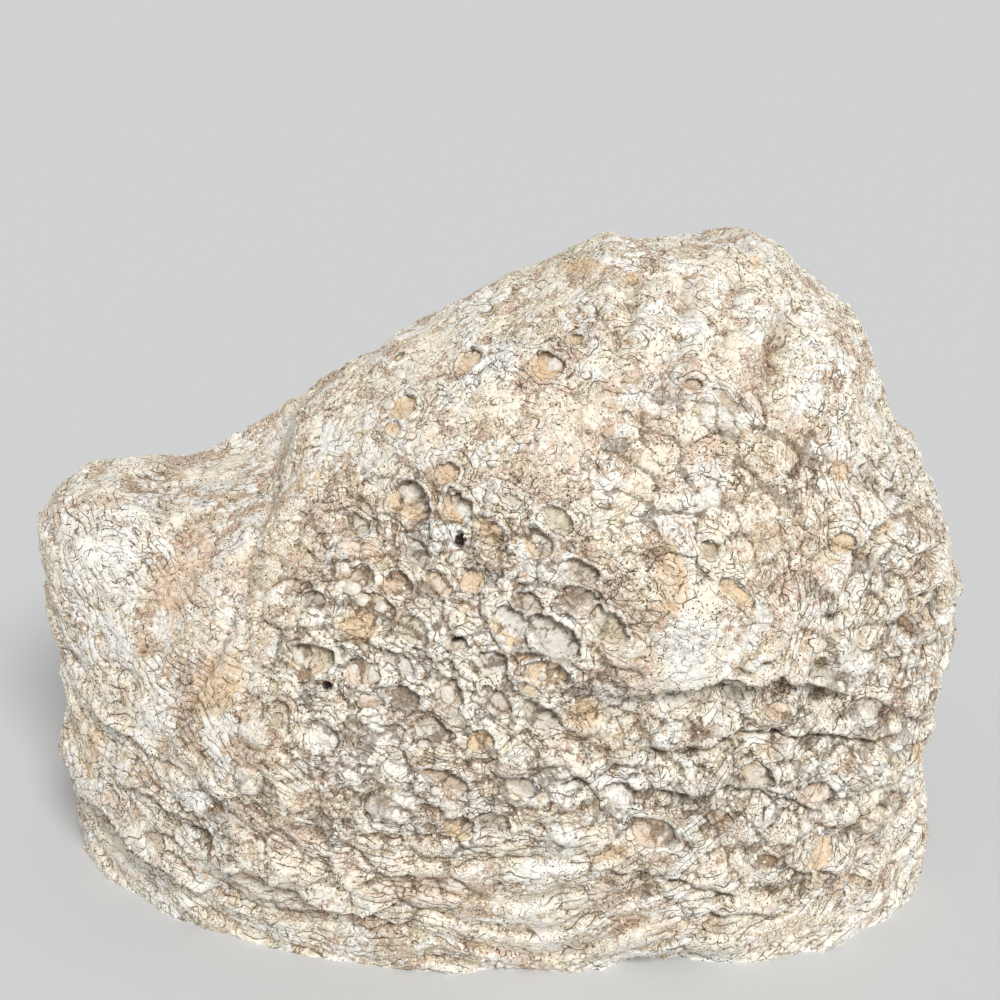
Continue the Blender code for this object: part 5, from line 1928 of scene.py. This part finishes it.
@dataclass
class CalciteBeads:
    """White calcite beads that sit in the cups, all in one mesh."""

    finish: CalciteFinish = CalciteFinish()
    subdivisions: int = 4
    height_share: float = 0.7
    sunk_share: float = 0.3
    lumps: tuple[Place, ...] = ((1.1, 0.2), (0.45, 0.07))

    def shape_bead(self, bead: Bead, guide: FaceFinder, skin: SkinFinder) -> Grid:
        """Return one bead's points in mm."""
        mesh = icosphere(self.subdivisions, "bead")
        directions = read_points(mesh)
        bpy.data.meshes.remove(mesh)
        centre, normal = guide.place(bead.x, bead.z)
        hit, _ = skin.behind(Vector((centre + (*PLAN_SHIFT, 0)) * MM))
        oval = Oval(np.array(hit) / MM, normal, bead.along, bead.across, bead.turn)
        long_axis, short_axis = oval.axes()
        thick = self.height_share * min(bead.along, bead.across)
        sizes = np.array([bead.along, bead.across, thick])
        lumps = np.ones(len(directions))
        for size, height in self.lumps:
            lumps += height * noise_values(directions * sizes + centre, size)
        frame = np.stack([long_axis, short_axis, normal])
        shape = directions * sizes * lumps[:, None] @ frame
        return oval.centre - normal * thick * self.sunk_share + shape

    def build(self, guide: FaceFinder, skin: SkinFinder) -> Object:
        """Return the beads."""
        sphere = icosphere(self.subdivisions, "bead pattern")
        triangles = read_triangles(sphere)
        each = len(sphere.vertices)
        bpy.data.meshes.remove(sphere)
        shapes = [self.shape_bead(bead, guide, skin) for bead in bead_clusters()]
        faces = [triangles + number * each for number in range(len(shapes))]
        mesh = triangle_mesh(np.concatenate(shapes), np.concatenate(faces))
        piece = new_piece("calcite_beads", mesh, self.finish.build())
        LOG.info("%s: %d beads", piece.name, len(shapes))
        return dress(piece)


@dataclass
class CrustGrains:
    """Small lime grains that cling to the crust, all in one mesh."""

    finish: GrainFinish = GrainFinish()
    seed: int = 5
    count: int = 3200
    quick_count: int = 1500
    sizes: Place = (0.2, 0.6)
    small_bias: float = 2.2
    flatten: Place = (0.55, 0.95)
    jitter: float = 0.22
    sunk_share: float = 0.2
    front_bias: float = 5.0
    lowest: float = 0.8

    def build(self, skin: Skin) -> Object:
        """Return the grains, more of them on the front."""
        points, triangles = skin.points, skin.triangles
        facing = face_vectors(points, triangles)
        area = np.linalg.norm(facing, axis=1)
        normals = facing / np.maximum(area, 1e-12)[:, None]
        middles = points[triangles].mean(axis=1)
        share = area * (1 + self.front_bias * smooth_step(0.0, 0.6, -normals[:, 1]))
        share[middles[:, 2] < self.lowest] = 0
        share *= 1 - skin.marks["calm"][triangles].mean(axis=1)
        draw = np.random.default_rng(self.seed)
        count = self.count
        chosen = draw.choice(len(triangles), size=count, p=share / share.sum())
        sphere = icosphere(1, "grain pattern")
        pattern, pattern_faces = read_points(sphere), read_triangles(sphere)
        bpy.data.meshes.remove(sphere)
        sizes = self.sizes[0] + np.ptp(self.sizes) * draw.random(count) ** self.small_bias
        corners = draw.normal(size=(count, len(pattern), 3)) * self.jitter + pattern
        corners *= draw.uniform(*self.flatten, size=(count, 1, 3)) * sizes[:, None, None]
        centres = middles[chosen] - normals[chosen] * (sizes * self.sunk_share)[:, None]
        shapes = corners + centres[:, None, :]
        faces = pattern_faces + (np.arange(count) * len(pattern))[:, None, None]
        mesh = triangle_mesh(shapes.reshape(-1, 3), faces.reshape(-1, 3))
        piece = new_piece("crust_grains", mesh, self.finish.build())
        LOG.info("%s: %d grains", piece.name, count)
        return dress(piece)


@dataclass
class Studio:
    """A pale floor, soft light and the camera."""

    view: View = View()
    floor_half_m: float = 6.0
    floor_colour: Colour = (0.66, 0.67, 0.68)
    world_colour: Colour = (1.0, 0.985, 0.965)
    world_strength: float = 0.48
    sun_strength: float = 2.3
    sun_soft: float = 18.0
    sun_turn: tuple[float, float, float] = (46.0, 18.0, 0.0)

    def build_floor(self) -> None:
        """Lay the floor under the block."""
        bpy.ops.mesh.primitive_plane_add(size=2 * self.floor_half_m)
        floor = bpy.context.object
        floor.name = "studio_floor"
        bench = Bench("studio floor")
        bench.feed(bench.shader.inputs["Base Color"], self.floor_colour)
        bench.shader.inputs["Roughness"].default_value = 0.9
        floor.data.materials.append(bench.material)

    def build_light(self) -> None:
        """Light the block from above, a little from the right."""
        world = bpy.data.worlds.new("studio")
        bpy.context.scene.world = world
        world.use_nodes = True
        background = world.node_tree.nodes["Background"]
        background.inputs["Color"].default_value = (*self.world_colour, 1.0)
        background.inputs["Strength"].default_value = self.world_strength
        sun = bpy.data.lights.new("soft sun", "SUN")
        sun.energy = self.sun_strength
        sun.angle = math.radians(self.sun_soft)
        lamp = bpy.data.objects.new("soft sun", sun)
        lamp.rotation_euler = [math.radians(turn) for turn in self.sun_turn]
        bpy.context.scene.collection.objects.link(lamp)

    def build_camera(self) -> None:
        """Set the camera at the block's front, looking down on it."""
        data = bpy.data.cameras.new("camera")
        data.sensor_width = self.view.sensor
        data.lens = self.view.lens
        data.clip_start = 0.01
        camera = bpy.data.objects.new("camera", data)
        camera.location = self.view.place_m
        camera.rotation_euler = (math.radians(90 - self.view.down), 0, 0)
        bpy.context.scene.collection.objects.link(camera)
        bpy.context.scene.camera = camera

    def build(self) -> None:
        """Build the floor, the light and the camera."""
        self.build_camera()
        self.build_floor()
        self.build_light()
        bpy.context.scene.view_settings.view_transform = "Standard"


def guide_finder(subdivisions: int) -> FaceFinder:
    """Return a finder for the block's faces before they are carved."""
    mesh = icosphere(subdivisions, "guide")
    surface = Surface(BlockForm().points(read_points(mesh)), read_triangles(mesh))
    bpy.data.meshes.remove(mesh)
    Body().work(surface, FaceFinder.of(surface))
    return FaceFinder.of(surface)


def main() -> None:
    """Build the studio and the block, with its calcite beads and crust grains."""
    logging.basicConfig(level=logging.INFO, format="%(name)s: %(message)s")
    noise.seed_set(NOISE_SEED)
    studio = Studio()
    studio.build()
    stone = StoneBlock()
    skin = stone.build()
    CalciteBeads().build(guide_finder(stone.coarse), SkinFinder.of(skin, studio.view))
    CrustGrains().build(skin)


if __name__ == "__main__":
    main()
